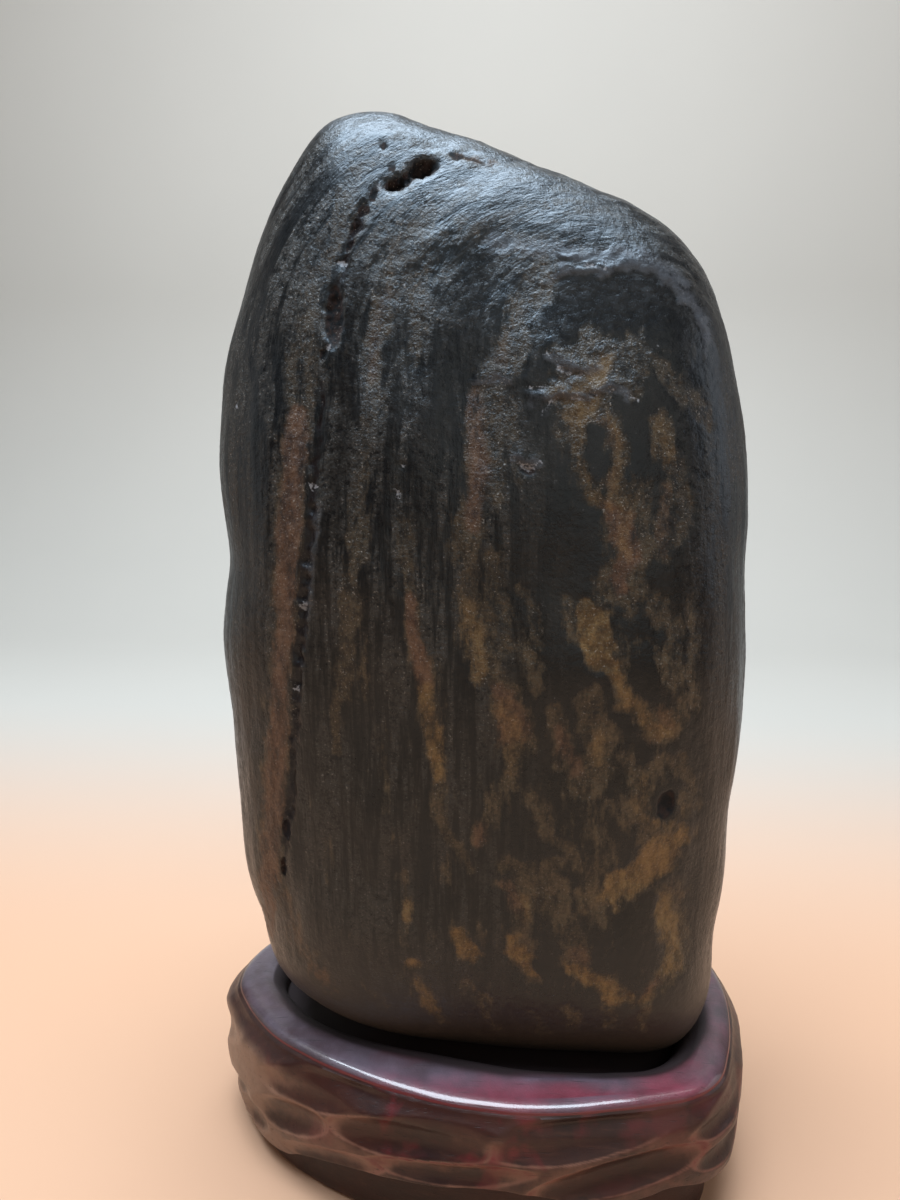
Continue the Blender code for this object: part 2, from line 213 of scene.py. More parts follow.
# Low ledges where one layer of the stone ends on the next: lift, how far it fades,
# then the line's points. The lifted side is on the left of the line's run.
LEDGE_BOX = (-18, 46, 152, 210)
LEDGES = (
    (0.35, 6.0, (5.0, 187.0), (12.4, 191.8), (15.1, 193.6), (21.8, 192.9), (27.2, 194.1),
     (30.7, 193.5), (34.1, 191.2), (36.3, 188.9), (38.4, 187.0), (39.7, 183.5), (40.7, 179.9),
     (41.5, 174.0)),
    (0.28, 4.0, (9.5, 179.0), (12.5, 178.5), (14.3, 176.8), (16.6, 175.4), (20.2, 175.2),
     (23.0, 176.5)),
    (0.32, 4.0, (9.0, 169.5), (13.9, 171.0), (18.5, 171.2), (21.3, 171.8), (24.4, 172.6),
     (28.5, 170.6)), (0.22, 3.0, (5.6, 161.5), (7.5, 159.6), (9.4, 159.2), (11.4, 160.4)),
    (0.25, 5.0, (-1.0, 173.0), (2.5, 173.8), (6.5, 173.6)),
)

# Small chips where the skin is bruised pale: right of the middle, height, radius.
CHIPS = (
    (-30.0, 155.5, 0.6), (-32.6, 133.6, 0.7), (-34.5, 117.0, 0.4), (-27.2, 180.2, 0.25),
    (-25.0, 195.0, 0.5), (-14.5, 154.5, 0.4), (-13.5, 159.5, 0.3), (-18.2, 208.3, 0.5),
    (-46.5, 170.0, 0.5),
)

# Short pale bruised lines on the edges of the ledges, which also stand for their lit crests as
# painted highlight; given as veins are given below.
BRUISES_AND_HIGHLIGHTS = (
    (0.9, (6.2, 161.0, 0.15), (7.4, 159.6, 0.3), (9.2, 159.1, 0.3), (11.0, 160.4, 0.15)),
    (0.8, (7.8, 173.2, 0.2), (10.4, 173.0, 0.35), (11.4, 173.4, 0.2)),
    (0.8, (11.6, 179.0, 0.1), (13.4, 177.4, 0.15), (14.6, 175.8, 0.3), (16.8, 175.2, 0.2),
     (18.6, 175.4, 0.15)),
    (0.8, (10.4, 168.6, 0.2), (11.8, 169.6, 0.25), (13.6, 171.0, 0.3), (15.6, 171.2, 0.2),
     (18.6, 171.2, 0.1)),
    (0.7, (18.8, 172.4, 0.1), (21.4, 171.4, 0.2), (23.4, 172.6, 0.25), (25.6, 172.4, 0.2),
     (28.4, 170.9, 0.1)), (0.6, (15.5, 195.2, 0.2), (19.0, 194.4, 0.3), (22.6, 193.6, 0.2)),
    (0.5, (36.4, 190.0, 0.2), (39.0, 187.6, 0.3), (40.4, 185.0, 0.2)),
    (0.6, (-17.8, 208.6, 0.3), (-16.6, 207.6, 0.4), (-14.6, 207.4, 0.2)),
)

# Veins in the face, by finish: strength, then points down the vein, each with its
# distance right of the middle, height and half width.
OCHRE_VEINS = (
    (0.9, (-9.6, 119, 1.2), (-8.5, 115, 1.5), (-7.8, 110, 2.0), (-7, 106, 1.6), (-6.6, 102, 0.8)),
    (0.6, (-1.5, 134, 1.6), (-0.6, 129.5, 2.6), (0, 125, 2.6), (0.6, 121, 1.8)),
    (0.5, (5.6, 116, 1.6), (6.6, 111, 2.0), (7, 105.5, 1.8), (7.2, 102, 1)),
    (1.0, (15.2, 175, 1.8), (16.2, 171.8, 2.6), (17.4, 169, 1.8), (22, 177.5, 1.6)),
    (0.6, (17, 167, 1.3), (17.6, 162, 1.3), (18.6, 158.5, 1.4), (20, 155.5, 2.2),
     (22.4, 152, 2.0)),
    (0.6, (22, 169, 1.6), (23.4, 164, 1.6), (24.4, 158, 1.4), (26, 150, 2.0), (25.6, 143, 1.6)),
    (0.7, (32.4, 166, 1.6), (33, 163, 1.6), (34, 161, 1.2)),
    (1.3, (18.6, 133.6, 1.2), (21, 131.6, 2.4), (22.6, 128.4, 2.6), (23.2, 125.8, 2.2),
     (25.2, 122.5, 1.6)),
    (0.8, (25.6, 123, 1.4), (27.2, 118.5, 1.2), (29.4, 114.5, 1.6), (32, 112, 2.2),
     (35, 110.5, 2.2)), (0.5, (34.4, 118, 1.8), (36.6, 113.5, 2.2)),
    (0.5, (22.4, 109, 1.8), (23.4, 104.5, 1.4)),
    (0.6, (31, 102, 2.0), (31.4, 97, 2.2), (33, 92, 2.0), (37.4, 90.5, 1.6), (40.5, 94, 1.4)),
    (1.0, (40.0, 87.4, 2.6), (36.6, 85, 3.8), (32.5, 82, 4.0), (29, 79.6, 3.6), (26.4, 76.5, 2.2)),
    (0.5, (9, 76.5, 1.6), (9.8, 72, 1.4)), (0.4, (22, 79, 1.6), (22.6, 74, 1.6)),
    (1.1, (8.4, 65, 1.9), (10, 62, 2.0), (11.4, 59, 1.0)),
    (0.9, (19, 61.5, 1.2), (22.4, 59.5, 2.0), (25.4, 56.6, 2.2), (28, 54, 1.6)),
    (0.9, (37, 74, 1.6), (38.6, 68, 2.2), (40, 63.5, 2.8), (39, 59, 1.8)),
    (0.6, (30, 53.5, 1.8), (34.5, 53.5, 1.8)), (0.7, (-13.6, 75, 1.6), (-13.8, 70.5, 1.2)),
    (0.9, (-12.6, 60, 1.6)), (1.0, (-3.6, 67.4, 1.5), (-2.2, 65, 1.8), (0, 63, 1)),
    (0.6, (-11.6, 55, 1.8), (-10, 50.5, 1.9), (-8.4, 47.5, 2.0)),
)
RUST_VEINS = (
    (0.8, (-5.5, 215.4, 0.7), (-2.4, 214.8, 1.0), (2.0, 213.4, 0.7)),
    (1.0, (-33.2, 169, 1.6), (-33.8, 162, 3.0), (-34.6, 152, 3.2), (-36, 140, 2.8),
     (-37.2, 126, 2.9), (-38.8, 113, 3.0), (-40.4, 98, 3.2), (-42.4, 82, 3.1), (-44.8, 66, 2.7),
     (-46, 56, 2.0)), (0.6, (-40, 70, 2.5), (-38, 60, 3.5), (-31, 51, 3.6)),
    (0.5, (-16.6, 191, 1.2), (-18.4, 184, 1.4), (-18.8, 176, 1.3)),
    (1.0, (-12.2, 136, 0.8), (-11.2, 130.5, 1.2), (-10.4, 125, 1.5), (-9.5, 119.5, 1.4)),
    (0.5, (7.5, 187, 1.3), (5.2, 183, 1.3), (3.2, 177, 1.2)),
    (0.8, (-1.2, 172, 1.6), (-0.6, 166, 2.2), (-0.2, 160, 2.4), (-0.4, 154.5, 2.2),
     (-1, 149, 1.6)), (0.75, (4.4, 119, 1.6), (6.4, 116, 2.6), (7, 112.5, 3.0), (5.6, 109.5, 2.2)),
    (0.4, (18.5, 178.5, 2.0), (22.5, 175, 2.2), (25.6, 173.5, 1.8)),
    (0.6, (21.4, 168, 1.6), (23, 163, 1.8), (24, 157, 1.8)),
    (1.0, (22.6, 152.5, 2.2), (25.6, 149, 3.0), (27, 144.5, 2.6), (25.6, 139.5, 1.8)),
    (0.6, (33.4, 154, 1.4), (34.2, 149.5, 1.8), (33.4, 145.5, 1.3)),
    (0.7, (35, 116.5, 2.0), (36, 112.5, 2.3), (33.6, 109.5, 2.0)),
    (0.7, (16.4, 111.5, 1.7), (17.2, 107, 2.1), (18, 103, 1.6)),
    (0.8, (1.4, 92, 1.3), (0.6, 88.5, 1.3)), (0.8, (6.4, 79.5, 1.6), (7.8, 75.5, 1.4)),
    (0.5, (9.4, 71.5, 1.2), (10, 67.5, 1.3)), (0.7, (19.8, 65, 1.7), (22, 62.5, 1.4)),
    (0.7, (36.6, 56.6, 1.8), (34.4, 55.5, 1.6)), (0.5, (39, 77, 1.8), (41.4, 72.5, 1.8)),
)
TAN_VEINS = (
    (0.7, (-22.5, 211.5, 1.6), (-25, 204, 2.4), (-28.4, 197.5, 2.4), (-30.6, 190.5, 2.6),
     (-31.8, 183, 2.8), (-32.6, 176, 3.0), (-33.4, 168, 3.2)),
    (1.0, (-9.6, 203.5, 1.4), (-12.8, 199, 1.6), (-15, 194.5, 1.7), (-16.8, 190, 1.8),
     (-18.2, 184, 1.9), (-18.8, 178, 1.9), (-18.6, 172.5, 1.8), (-17.2, 168, 1.2)),
    (0.7, (-9.4, 196, 1.4), (-11.4, 190.5, 1.8), (-11.8, 185, 1.8), (-11, 180, 1.3),
     (-12.4, 176.5, 1)),
    (0.5, (-7, 201, 2.2), (-1, 200, 2.2), (5, 199, 2.0), (12, 198.6, 2.2), (18, 197.4, 1.6)),
    (0.7, (-19.8, 169.5, 1), (-20.6, 162, 1.3), (-21.6, 156, 1.4), (-21.6, 149.5, 1.9),
     (-21.4, 143, 1.8)),
    (0.9, (-22.4, 142, 1.4), (-23.2, 136, 1.5), (-23.8, 128, 1.4), (-24.8, 119, 1.4),
     (-26.2, 111, 1.2), (-26.8, 106, 0.8)),
    (0.5, (-20.8, 136, 0.8), (-21, 126, 0.9), (-21.2, 117, 0.7)),
    (0.4, (-17.5, 111, 0.8), (-17, 102.5, 1), (-17.4, 95, 0.7)),
    (0.7, (-13.2, 149, 0.8), (-12.6, 142, 0.9), (-12, 136, 1.1)),
    (0.8, (-6.6, 101, 1.2), (-6.8, 95, 1.2), (-5.4, 89.5, 1.1), (-2.6, 86, 1.1), (-1, 82.5, 1.0)),
    (0.5, (-5, 85, 1.2), (-5.6, 79.5, 1.1)), (0.5, (-9, 117, 3.0), (-7.6, 108, 2.8)),
    (1.0, (12, 194.5, 1.6), (9.2, 190.5, 2.2), (7.2, 186.5, 2.6), (6, 181.5, 2.8),
     (4.4, 176.5, 2.4), (2.4, 172.5, 2.4)),
    (0.9, (1.4, 176, 2.6), (2.6, 169, 2.8), (1.6, 161.5, 3.4), (0.8, 154.5, 3.4), (-1.4, 149, 2.8),
     (-3.4, 144.5, 1.8)), (0.7, (-2.4, 148.5, 1.8), (-1.6, 143, 1.8), (-2, 139, 1.4)),
    (0.6, (5.2, 170, 1.2), (5.8, 163, 1.4), (6.6, 157, 1.2)),
    (0.8, (2.8, 144, 1.4), (3.4, 138, 1.9), (5, 133.5, 1.4)),
    (0.6, (8, 138, 1.0), (10, 133, 1.0), (12, 128, 0.9)),
    (0.9, (-2, 137, 2.0), (0.6, 132.5, 3.0), (1.4, 127, 3.2), (2.4, 121.5, 2.8),
     (5.6, 118.5, 2.2)),
    (0.7, (5, 130, 1.3), (6.5, 126, 1.3), (8.4, 128.5, 1.4), (9.6, 124.5, 1.2),
     (11.6, 120.5, 1.0)),
    (0.9, (5, 118.5, 2.2), (7, 115, 3.2), (7.4, 110, 3.0), (7.6, 105, 2.2), (7, 100.5, 1.4)),
    (0.7, (5.4, 100.5, 1.7), (3.8, 96.5, 1.8), (2.4, 92, 1.6), (0.8, 88.5, 1.5)),
    (0.9, (14.6, 177.5, 2.4), (19.5, 180, 3.0), (24.5, 179.5, 3.0), (28, 175.5, 2.2)),
    (1.0, (14, 173, 2.6), (18, 174.5, 3.4), (23, 175.5, 3.4), (27.4, 172.8, 2.0)),
    (0.8, (16.4, 168.5, 2.4), (17.2, 163, 2.0), (18.8, 158, 2.3), (20.8, 153.5, 2.6)),
    (0.9, (21.6, 170, 2.8), (23.6, 164, 2.4), (24.8, 157, 2.4), (26, 149.5, 4.2), (27, 143, 3.8),
     (25.4, 137.5, 2.2)),
    (0.7, (28.4, 154.5, 2.0), (30.4, 149.5, 2.6), (30, 144, 2.6), (28, 139, 2.2),
     (27.6, 133.5, 1.4)),
    (0.8, (28, 180.5, 1.2), (31.6, 178, 1.6), (34.6, 175, 1.8), (38.4, 171.5, 1.6),
     (41.4, 168, 1.2)),
    (0.9, (32.2, 167, 1.6), (32.6, 163.5, 1.8), (34.6, 160.5, 1.3), (36.2, 156.5, 1.3),
     (37, 151, 1.2), (36, 146, 1.2)),
    (0.7, (33.6, 154, 1.8), (34.6, 149.5, 2.2), (33.6, 145, 1.6)),
    (0.7, (28.6, 141, 1.4), (31.2, 136, 1.5), (34.6, 130.5, 1.6), (36.6, 125, 2.0),
     (36, 119.5, 2.0)),
    (0.6, (38.6, 134, 1.0), (39.6, 128.5, 1.4), (39.4, 122.5, 1.5), (40.4, 117, 1.1)),
    (0.7, (16.4, 134.5, 1.8), (18.4, 130.5, 2.2), (21, 137, 1.6), (23.6, 141, 1.2)),
    (0.8, (20, 133, 3.0), (23.4, 128.5, 3.4), (25.2, 123, 2.4), (27.4, 118, 1.8)),
    (0.9, (30.4, 114, 2.4), (33.8, 112.5, 3.2), (36.6, 115, 2.6), (35.6, 109.5, 2.2)),
    (0.5, (28, 128, 1), (31.5, 127, 1), (34, 124.5, 1)),
    (1.0, (20.4, 117.5, 1.8), (22.4, 113.5, 2.8), (23.6, 108.5, 3.0), (22.8, 103, 2.6),
     (20.6, 99, 2.0)), (0.8, (15, 115, 1.6), (16.6, 109, 2.6), (18.8, 103, 2.8), (20.2, 98, 1.8)),
    (0.8, (29.4, 104, 2.4), (33.4, 103.5, 1.8), (38, 103, 1.6), (41.6, 99, 1.8), (41.8, 93.5, 2.0),
     (38.4, 89.5, 2.2)), (0.8, (31, 100, 3.0), (31.2, 94, 3.0), (33.6, 89, 2.8), (37, 88, 2.4)),
    (0.5, (26, 96, 1.2), (28.4, 90, 1.4), (26.4, 85.5, 1.6)),
    (0.8, (23.6, 83.5, 2.0), (22, 79, 2.6), (24, 75, 2.6), (24.6, 71.5, 1.5)),
    (0.6, (38, 84, 2.8), (32, 80, 4.2), (28, 77.5, 3.0)),
    (0.8, (11.4, 97, 1.2), (12.8, 93, 1.5), (15, 90.5, 1.4), (17.6, 88, 1.4), (19.4, 84.5, 1.6)),
    (0.9, (6.4, 84, 1.8), (9.4, 82, 2.4), (12.6, 79.5, 2.6), (14, 76, 1.8), (8.8, 76, 2.2),
     (15.6, 84.5, 1.4)), (0.8, (9.2, 73, 1.8), (9.8, 67, 2.0), (9.4, 61.5, 2.0), (11.8, 57, 1.2)),
    (0.8, (15.4, 79, 1.6), (17.2, 74.5, 2.0), (19, 70, 2.2), (20, 65.5, 2.2), (21.4, 61, 1.8),
     (17.6, 62.5, 1.4)),
    (0.9, (24.6, 58.5, 2.2), (28.4, 54, 2.4), (32.4, 52.4, 2.2), (36.2, 54.4, 2.2),
     (38.6, 58.5, 2.2)), (0.7, (35, 52, 1.6), (34.8, 48, 1.4), (34.2, 44.5, 0.9)),
    (0.6, (27, 50, 1.4), (28, 45.5, 1.3)), (0.7, (18.6, 51, 1.6), (20, 45, 1.5)),
    (0.6, (11.4, 48.5, 1), (13.6, 43, 1.3)), (0.5, (3, 47, 1.2), (4.4, 43, 1)),
    (0.9, (35.4, 77.5, 1.8), (38.6, 73.5, 2.2), (40.6, 67.5, 2.6), (41.6, 61.5, 2.2),
     (39.4, 57, 2.0)), (0.5, (-13.8, 79.5, 1), (-14, 66, 0.9)), (0.5, (-9.2, 67, 0.9)),
    (0.7, (-3.6, 67, 2.2), (-1, 64, 1.8)), (0.5, (0.4, 71, 0.9), (1.4, 66.5, 1)),
    (0.6, (-2.2, 56.5, 1.1), (1.8, 51.5, 1.3), (2.6, 47.5, 1)),
    (0.5, (-29, 86, 0.9), (-30, 78.5, 1)),
    (0.6, (-12, 56, 2.4), (-10, 50, 2.4), (-7.4, 45.5, 2.2)),
    (0.4, (-22, 52, 1.4), (-16, 45, 1.6)),
    (0.28, (8, 100, 7), (20, 92, 8), (30, 84, 9), (22, 72, 8), (12, 68, 8)),
    (0.25, (24, 60, 8), (36, 70, 6), (30, 108, 8)),
)

# Dark islands that the veins go round.
ISLANDS = (
    (1.0, (36.2, 96.8, 2.2), (36.4, 94.6, 2.2)),
    (1.0, (31.2, 68, 4.0), (31, 63, 4.4), (33.4, 73.5, 1.8)),
    (0.9, (20, 165.5, 1.2), (20.8, 161, 1.4)), (0.9, (30, 123, 1.4), (32.2, 119, 1.6)),
    (0.8, (27.8, 168.5, 2.0), (29.4, 164, 2.0), (28.6, 159, 1.6)),
    (0.7, (26, 90.5, 1.2), (28.4, 86.6, 1.2)), (0.8, (14.6, 67, 1.6), (15.4, 60, 1.6)),
    (0.9, (17, 188, 4.0), (22, 188.5, 4.6), (29, 189, 4.4), (34, 184, 4.0)),
    (0.9, (-0.5, 195, 3.6), (-2.4, 188.5, 4.8), (-4, 179.5, 4.8), (-7.6, 171, 3.6),
     (-8.6, 160, 3.4), (-9.5, 150, 2.4)),
    (0.8, (-21.5, 194, 1.0), (-23.4, 184, 1.3), (-24, 174, 1.5), (-25, 160, 1.6), (-26, 148, 1.6)),
    (0.5, (-38, 186, 1.6), (-41, 168, 3.6), (-42.5, 140, 4.0), (-45, 110, 3.0)),
    (0.6, (-15, 186, 1.2), (-15.4, 176, 1.6), (-16, 164, 2.0), (-17, 150, 2.0)),
)

# Cool grey streaks where the skin is rubbed, which also carry painted sheen from the top light.
RUBBED_AND_SHEEN = (
    (0.6, (-29, 152, 0.7), (-30, 145, 0.9), (-31, 137, 0.8), (-31.6, 131, 0.6)),
    (0.5, (-14, 214.5, 1.6), (-9, 210, 1.6), (-3, 208, 1.4)),
    (0.5, (-20.4, 208.6, 1.2), (-17.4, 208.4, 1.2), (-14.4, 207.4, 0.8)),
    (0.5, (-10, 205, 1.6), (0, 203, 2.0), (8, 203.5, 2.0), (16, 202, 1.6)),
    (0.8, (2, 199, 1.8), (11, 197.5, 2.0), (20, 196.2, 2.0), (28, 196.8, 1.8), (34, 194, 1.4),
     (37, 191.6, 0.8)),
    (0.4, (37, 191.6, 0.8), (41, 185.5, 0.7), (43, 179, 0.7), (43.8, 171, 0.6)),
    (0.5, (10.5, 172.5, 0.8), (8.6, 170, 0.8), (11.8, 168.6, 0.8)),
)

# The veins on the back of the stone.
BACK_OCHRE_VEINS = (
    (0.6, (30, 168, 1.8), (27, 156, 2.2), (28.5, 142, 1.8), (25, 130, 1.4)),
    (0.55, (-14, 92, 2.2), (-17, 80, 2.8), (-12, 70, 2.0)), (0.5, (8, 66, 2.0), (13, 58, 2.2)),
)
BACK_RUST_VEINS = (
    (0.55, (34, 176, 1.8), (32, 160, 2.8), (33, 144, 2.4), (29, 126, 2.6), (31, 108, 2.0)),
    (0.55, (-2, 182, 1.4), (-6, 166, 2.2), (-4, 150, 2.0), (-8, 134, 1.6)),
    (0.5, (-20, 100, 2.0), (-18, 86, 3.4), (-14, 72, 2.6), (-17, 60, 1.8)),
)
BACK_TAN_VEINS = (
    (0.55, (12, 204, 1.6), (4, 190, 2.2), (0, 172, 2.8), (-3, 152, 3.2), (-5, 132, 2.4),
     (-3, 118, 1.6)),
    (0.55, (36, 184, 2.0), (35, 164, 3.2), (31, 142, 3.8), (30, 118, 2.8), (34, 96, 2.0)),
    (0.6, (-28, 190, 1.4), (-32, 170, 2.0), (-33, 146, 1.8), (-36, 120, 2.2), (-35, 96, 1.4)),
    (0.5, (-22, 108, 2.2), (-19, 88, 4.2), (-14, 74, 3.4), (-18, 56, 2.4)),
    (0.5, (6, 96, 1.4), (11, 82, 2.2), (8, 68, 2.8), (15, 56, 3.0), (12, 46, 2.0)),
)


def smooth_step(low, high, value):
    """0 below low, 1 above high, and a smooth turn between them."""
    share = min(1.0, max(0.0, (value - low) / (high - low)))
    return share * share * (3 - 2 * share)


class Ring:
    """A value for every angle, running smoothly through a ring of knots."""

    def __init__(self, knots):
        self.knots = sorted((angle % math.tau, value) for angle, value in knots)

    def knot(self, index):
        turns, place = divmod(index, len(self.knots))
        angle, value = self.knots[place]
        return angle + turns * math.tau, value

    def at(self, angle):
        angle %= math.tau
        after = sum(1 for knot, _ in self.knots if knot <= angle)
        near = [self.knot(after + step) for step in (-2, -1, 0, 1)]
        (a0, v0), (a1, v1), (a2, v2), (a3, v3) = near
        span = a2 - a1
        share = (angle - a1) / span
        slope1 = (v2 - v0) / (a2 - a0) * span
        slope2 = (v3 - v1) / (a3 - a1) * span
        return (
            v1 * (1 + 2 * share) * (1 - share) ** 2
            + slope1 * share * (1 - share) ** 2
            + v2 * share**2 * (3 - 2 * share)
            + slope2 * share**2 * (share - 1)
        )


def outline(points, middle=(0.0, 0.0)):
    """The distance from the middle to a closed line through the points."""
    return Ring(
        (math.atan2(v - middle[1], u - middle[0]), math.dist((u, v), middle)) for u, v in points
    )


RIM = outline(RIM_OUTLINE)
SKIRT = Ring((math.radians(angle), height) for angle, height in SKIRT_EDGE)
STONE = outline(STONE_OUTLINE, (0.0, STONE_CENTRE))


# ---------------------------------------------------------------- pieces
def new_piece(name, bm, material, sharp):
    """A smooth object from a bmesh in millimetres, crisp past an angle in degrees."""
    bmesh.ops.scale(bm, vec=(MM, MM, MM), verts=bm.verts)
    mesh = bpy.data.meshes.new(name)
    bm.to_mesh(mesh)
    bm.free()
    mesh.shade_smooth()
    mesh.set_sharp_from_angle(angle=math.radians(sharp))
    mesh.materials.append(material)
    piece = bpy.data.objects.new(name, mesh)
    bpy.context.scene.collection.objects.link(piece)
    return piece


# ---------------------------------------------------------------- the stone's shape
def stone_squareness(angle):
    """The power of the pillow's section: soft all round, and squarer at the foot."""
    return STONE_ROUNDNESS + FOOT_SQUARENESS * smooth_step(0.80, 0.97, -math.sin(angle))


def stone_thinning(height):
    """The stone's depth at a height, as a share of its full depth."""
    to_top = smooth_step(120, 225, height)
    to_foot = smooth_step(-100, -30, -height)
    return 1.0 - THINNER_AT_TOP * to_top - THINNER_AT_FOOT * to_foot


def stone_point(direction):
    """The point of the stone's skin that lies in a direction from its centre."""
    x, y, z = direction
    angle = math.atan2(z, x)
    power = stone_squareness(angle)
    depth = STONE_FRONT_DEPTH if y < 0 else STONE_BACK_DEPTH
    reach = math.hypot(x, z) / STONE.at(angle)
    scale = (reach**power + (abs(y) / depth) ** power) ** (-1 / power)
    height = STONE_CENTRE + z * scale
    return Vector((x * scale, y * scale * stone_thinning(height), height))


def swelling(point):
    """Broad worn hollows and swellings of the stone, in millimetres outwards."""
    broad = 1.5 * noise.noise(point / 42 + Vector((3.1, 0.4, 7.7)))
    small = 0.7 * noise.noise(point / 17 + Vector((9.2, 5.5, 1.3)))
    return (broad + small) * smooth_step(STAND_HEIGHT - 3, STAND_HEIGHT + 25, point.z)


def gridded_cube(bm, cuts):
    """A cube whose edges along each axis are cut that many times."""
    bmesh.ops.create_cube(bm, size=2)
    for axis, count in enumerate(cuts):
        ends = [(edge, edge.verts[0].co, edge.verts[1].co) for edge in bm.edges]
        along = [edge for edge, start, end in ends if abs(start[axis] - end[axis]) > 1.5]
        bmesh.ops.subdivide_edges(bm, edges=along, cuts=count, use_grid_fill=True)


def push(bm, amount):
    """Move every vertex along its normal by an amount worked out for it."""
    bm.normal_update()
    places = {vert: vert.co + vert.normal * amount(vert) for vert in bm.verts}
    for vert, place in places.items():
        vert.co = place


def layer_place(point):
    """Where a point lies in the stone's layers: across them, along them, and back."""
    across = point.x - CORE_TOP[0]
    over = max(0.0, point.z - CORE_TOP[1]) * LAYERS_CLOSER_OVER_TOP
    turn = math.atan2(over, -across)
    down = max(0.0, CORE_TOP[1] - point.z)
    along = LAYER_TURN_LENGTH * turn + (down if turn > math.pi / 2 else -down)
    back = point.y * LAYER_BACK_STRETCH
    return Vector((math.hypot(across, over), along * LAYER_STRETCH, back))


def layered(point):
    """How plainly the layers show: least near the core line."""
    away = math.hypot(point.x - CORE_TOP[0], max(0.0, point.z - CORE_TOP[1]))
    return smooth_step(5, 30, away) * (0.15 + 0.85 * smooth_step(38, 75, point.z))


def beside_line(u, v, points):
    """Distance to a line, the side of it (+ left), the share along it, and its width there."""
    best = None
    last = len(points) - 1
    for index in range(max(1, last)):
        start, end = points[index], points[min(index + 1, last)]
        du, dv = end[0] - start[0], end[1] - start[1]
        length = math.hypot(du, dv) or 1e-6
        share = min(1.0, max(0.0, ((u - start[0]) * du + (v - start[1]) * dv) / length**2))
        away = math.hypot(u - start[0] - du * share, v - start[1] - dv * share)
        if best is None or away < best[0]:
            side = math.copysign(1, du * (v - start[1]) - dv * (u - start[0]))
            values = [a + (b - a) * share for a, b in zip(start[2:], end[2:])]
            best = (away, side, (index + share) / max(1, last), values)
    return best


class Marks:
    """A family of veins, with the box round each so that far ones are passed over."""

    REACH = 3.0

    def __init__(self, veins, feather=1.3):
        self.veins, self.feather = [], feather
        for strength, *points in veins:
            us, vs = [p[0] for p in points], [p[1] for p in points]
            widest = max(p[2] for p in points) + self.REACH
            box = (min(us) - widest, max(us) + widest, min(vs) - widest, max(vs) + widest)
            self.veins.append((strength, points, box))

    def at(self, u, v):
        """The strongest of the veins at a place."""
        most = 0.0
        for strength, points, (left, right, low, high) in self.veins:
            if left < u < right and low < v < high:
                away, _, _, (half,) = beside_line(u, v, points)
                inside = 1 - smooth_step(0.2 * half, 1.35 * half + self.feather, away)
                most = max(most, strength * inside)
        return most


FRONT_MARKS = [Marks(veins) for veins in (OCHRE_VEINS, RUST_VEINS, TAN_VEINS)]
RUBBED_AND_SHEEN_MARKS = Marks(RUBBED_AND_SHEEN)
ISLAND_MARKS = Marks(ISLANDS)
BRUISE_AND_HIGHLIGHT_MARKS = Marks(BRUISES_AND_HIGHLIGHTS, 0.5)
BACK_MARKS = [Marks(veins) for veins in (BACK_OCHRE_VEINS, BACK_RUST_VEINS, BACK_TAN_VEINS)]


def in_box(point, box):
    left, right, low, high = box
    return left < point.x < right and low < point.z < high


def warped(point, size, amount, seed):
    """Noise offsets that make a drawn line wander like a natural one."""
    place = point / size
    shift = Vector((seed, 2.3 * seed, -seed))
    return amount * noise.noise(place + shift), amount * noise.noise(place - shift)


def vein_strengths(point):
    """Ochre, rust and tan at a point of the skin, each from 0 to 1, and the dark islands."""
    plain = 1 - 0.5 * layered(point)
    broad = warped(point, 5.5, 1.9 * plain, 4.1)
    fine = warped(point, 1.7, 0.9 * plain, 8.7)
    u, v = point.x + broad[0] + fine[0], point.z + 1.6 * broad[1] + 1.4 * fine[1]
    front = smooth_step(-2, 4, -point.y)
    back = smooth_step(-2, 4, point.y)
    island = front * ISLAND_MARKS.at(u, v)
    strengths = []
    for ahead, behind in zip(FRONT_MARKS, BACK_MARKS):
        in_face = front * (1 - island) * ahead.at(u, v) if front else 0.0
        strengths.append(in_face + (back * behind.at(u, v) if back else 0.0))
    return *strengths, island


class Pit:
    """A worn pit laid on the skin, with the skin's slope."""

    def __init__(self, spot, across, height, half_length, half_width, depth, turn):
        self.place, outward = spot(across, height)
        run = Vector((math.cos(math.radians(turn)), 0, math.sin(math.radians(turn))))
        self.along = (run - outward * run.dot(outward)).normalized()
        self.cross = outward.cross(self.along)
        self.half_length, self.half_width, self.depth = half_length, half_width, depth

    def reach(self, point):
        """1 on the pit's rim, less inside it."""
        off = point - self.place
        if off.length_squared > (2.2 * self.half_length + 2) ** 2:
            return 9.0
        a, b = warped(point, 1.3, 0.42, 3.3)
        along = (off.dot(self.along) + a) / self.half_length
        return math.hypot(along, (off.dot(self.cross) + b) / self.half_width)

    def sink(self, point):
        return self.depth * (1 - smooth_step(0.35, 1.15, self.reach(point)))


def groove_at(point, line, box):
    """Depth of a long broken groove, looked for only inside a box."""
    if point.y > 0 or not in_box(point, box):
        return 0.0
    a, b = warped(point, 2.2, 0.8, 6.1)
    c, d = warped(point, 0.9, 0.35, 1.1)
    away, _, _, (half, depth) = beside_line(point.x + a + c, point.z + b + d, line)
    broken = 0.5 + 0.9 * smooth_step(-0.3, 0.3, noise.noise(point / 2.4 + Vector((1, 7, 2))))
    return depth * broken * (1 - smooth_step(0.25 * half, 1.3 * half + 0.25, away))


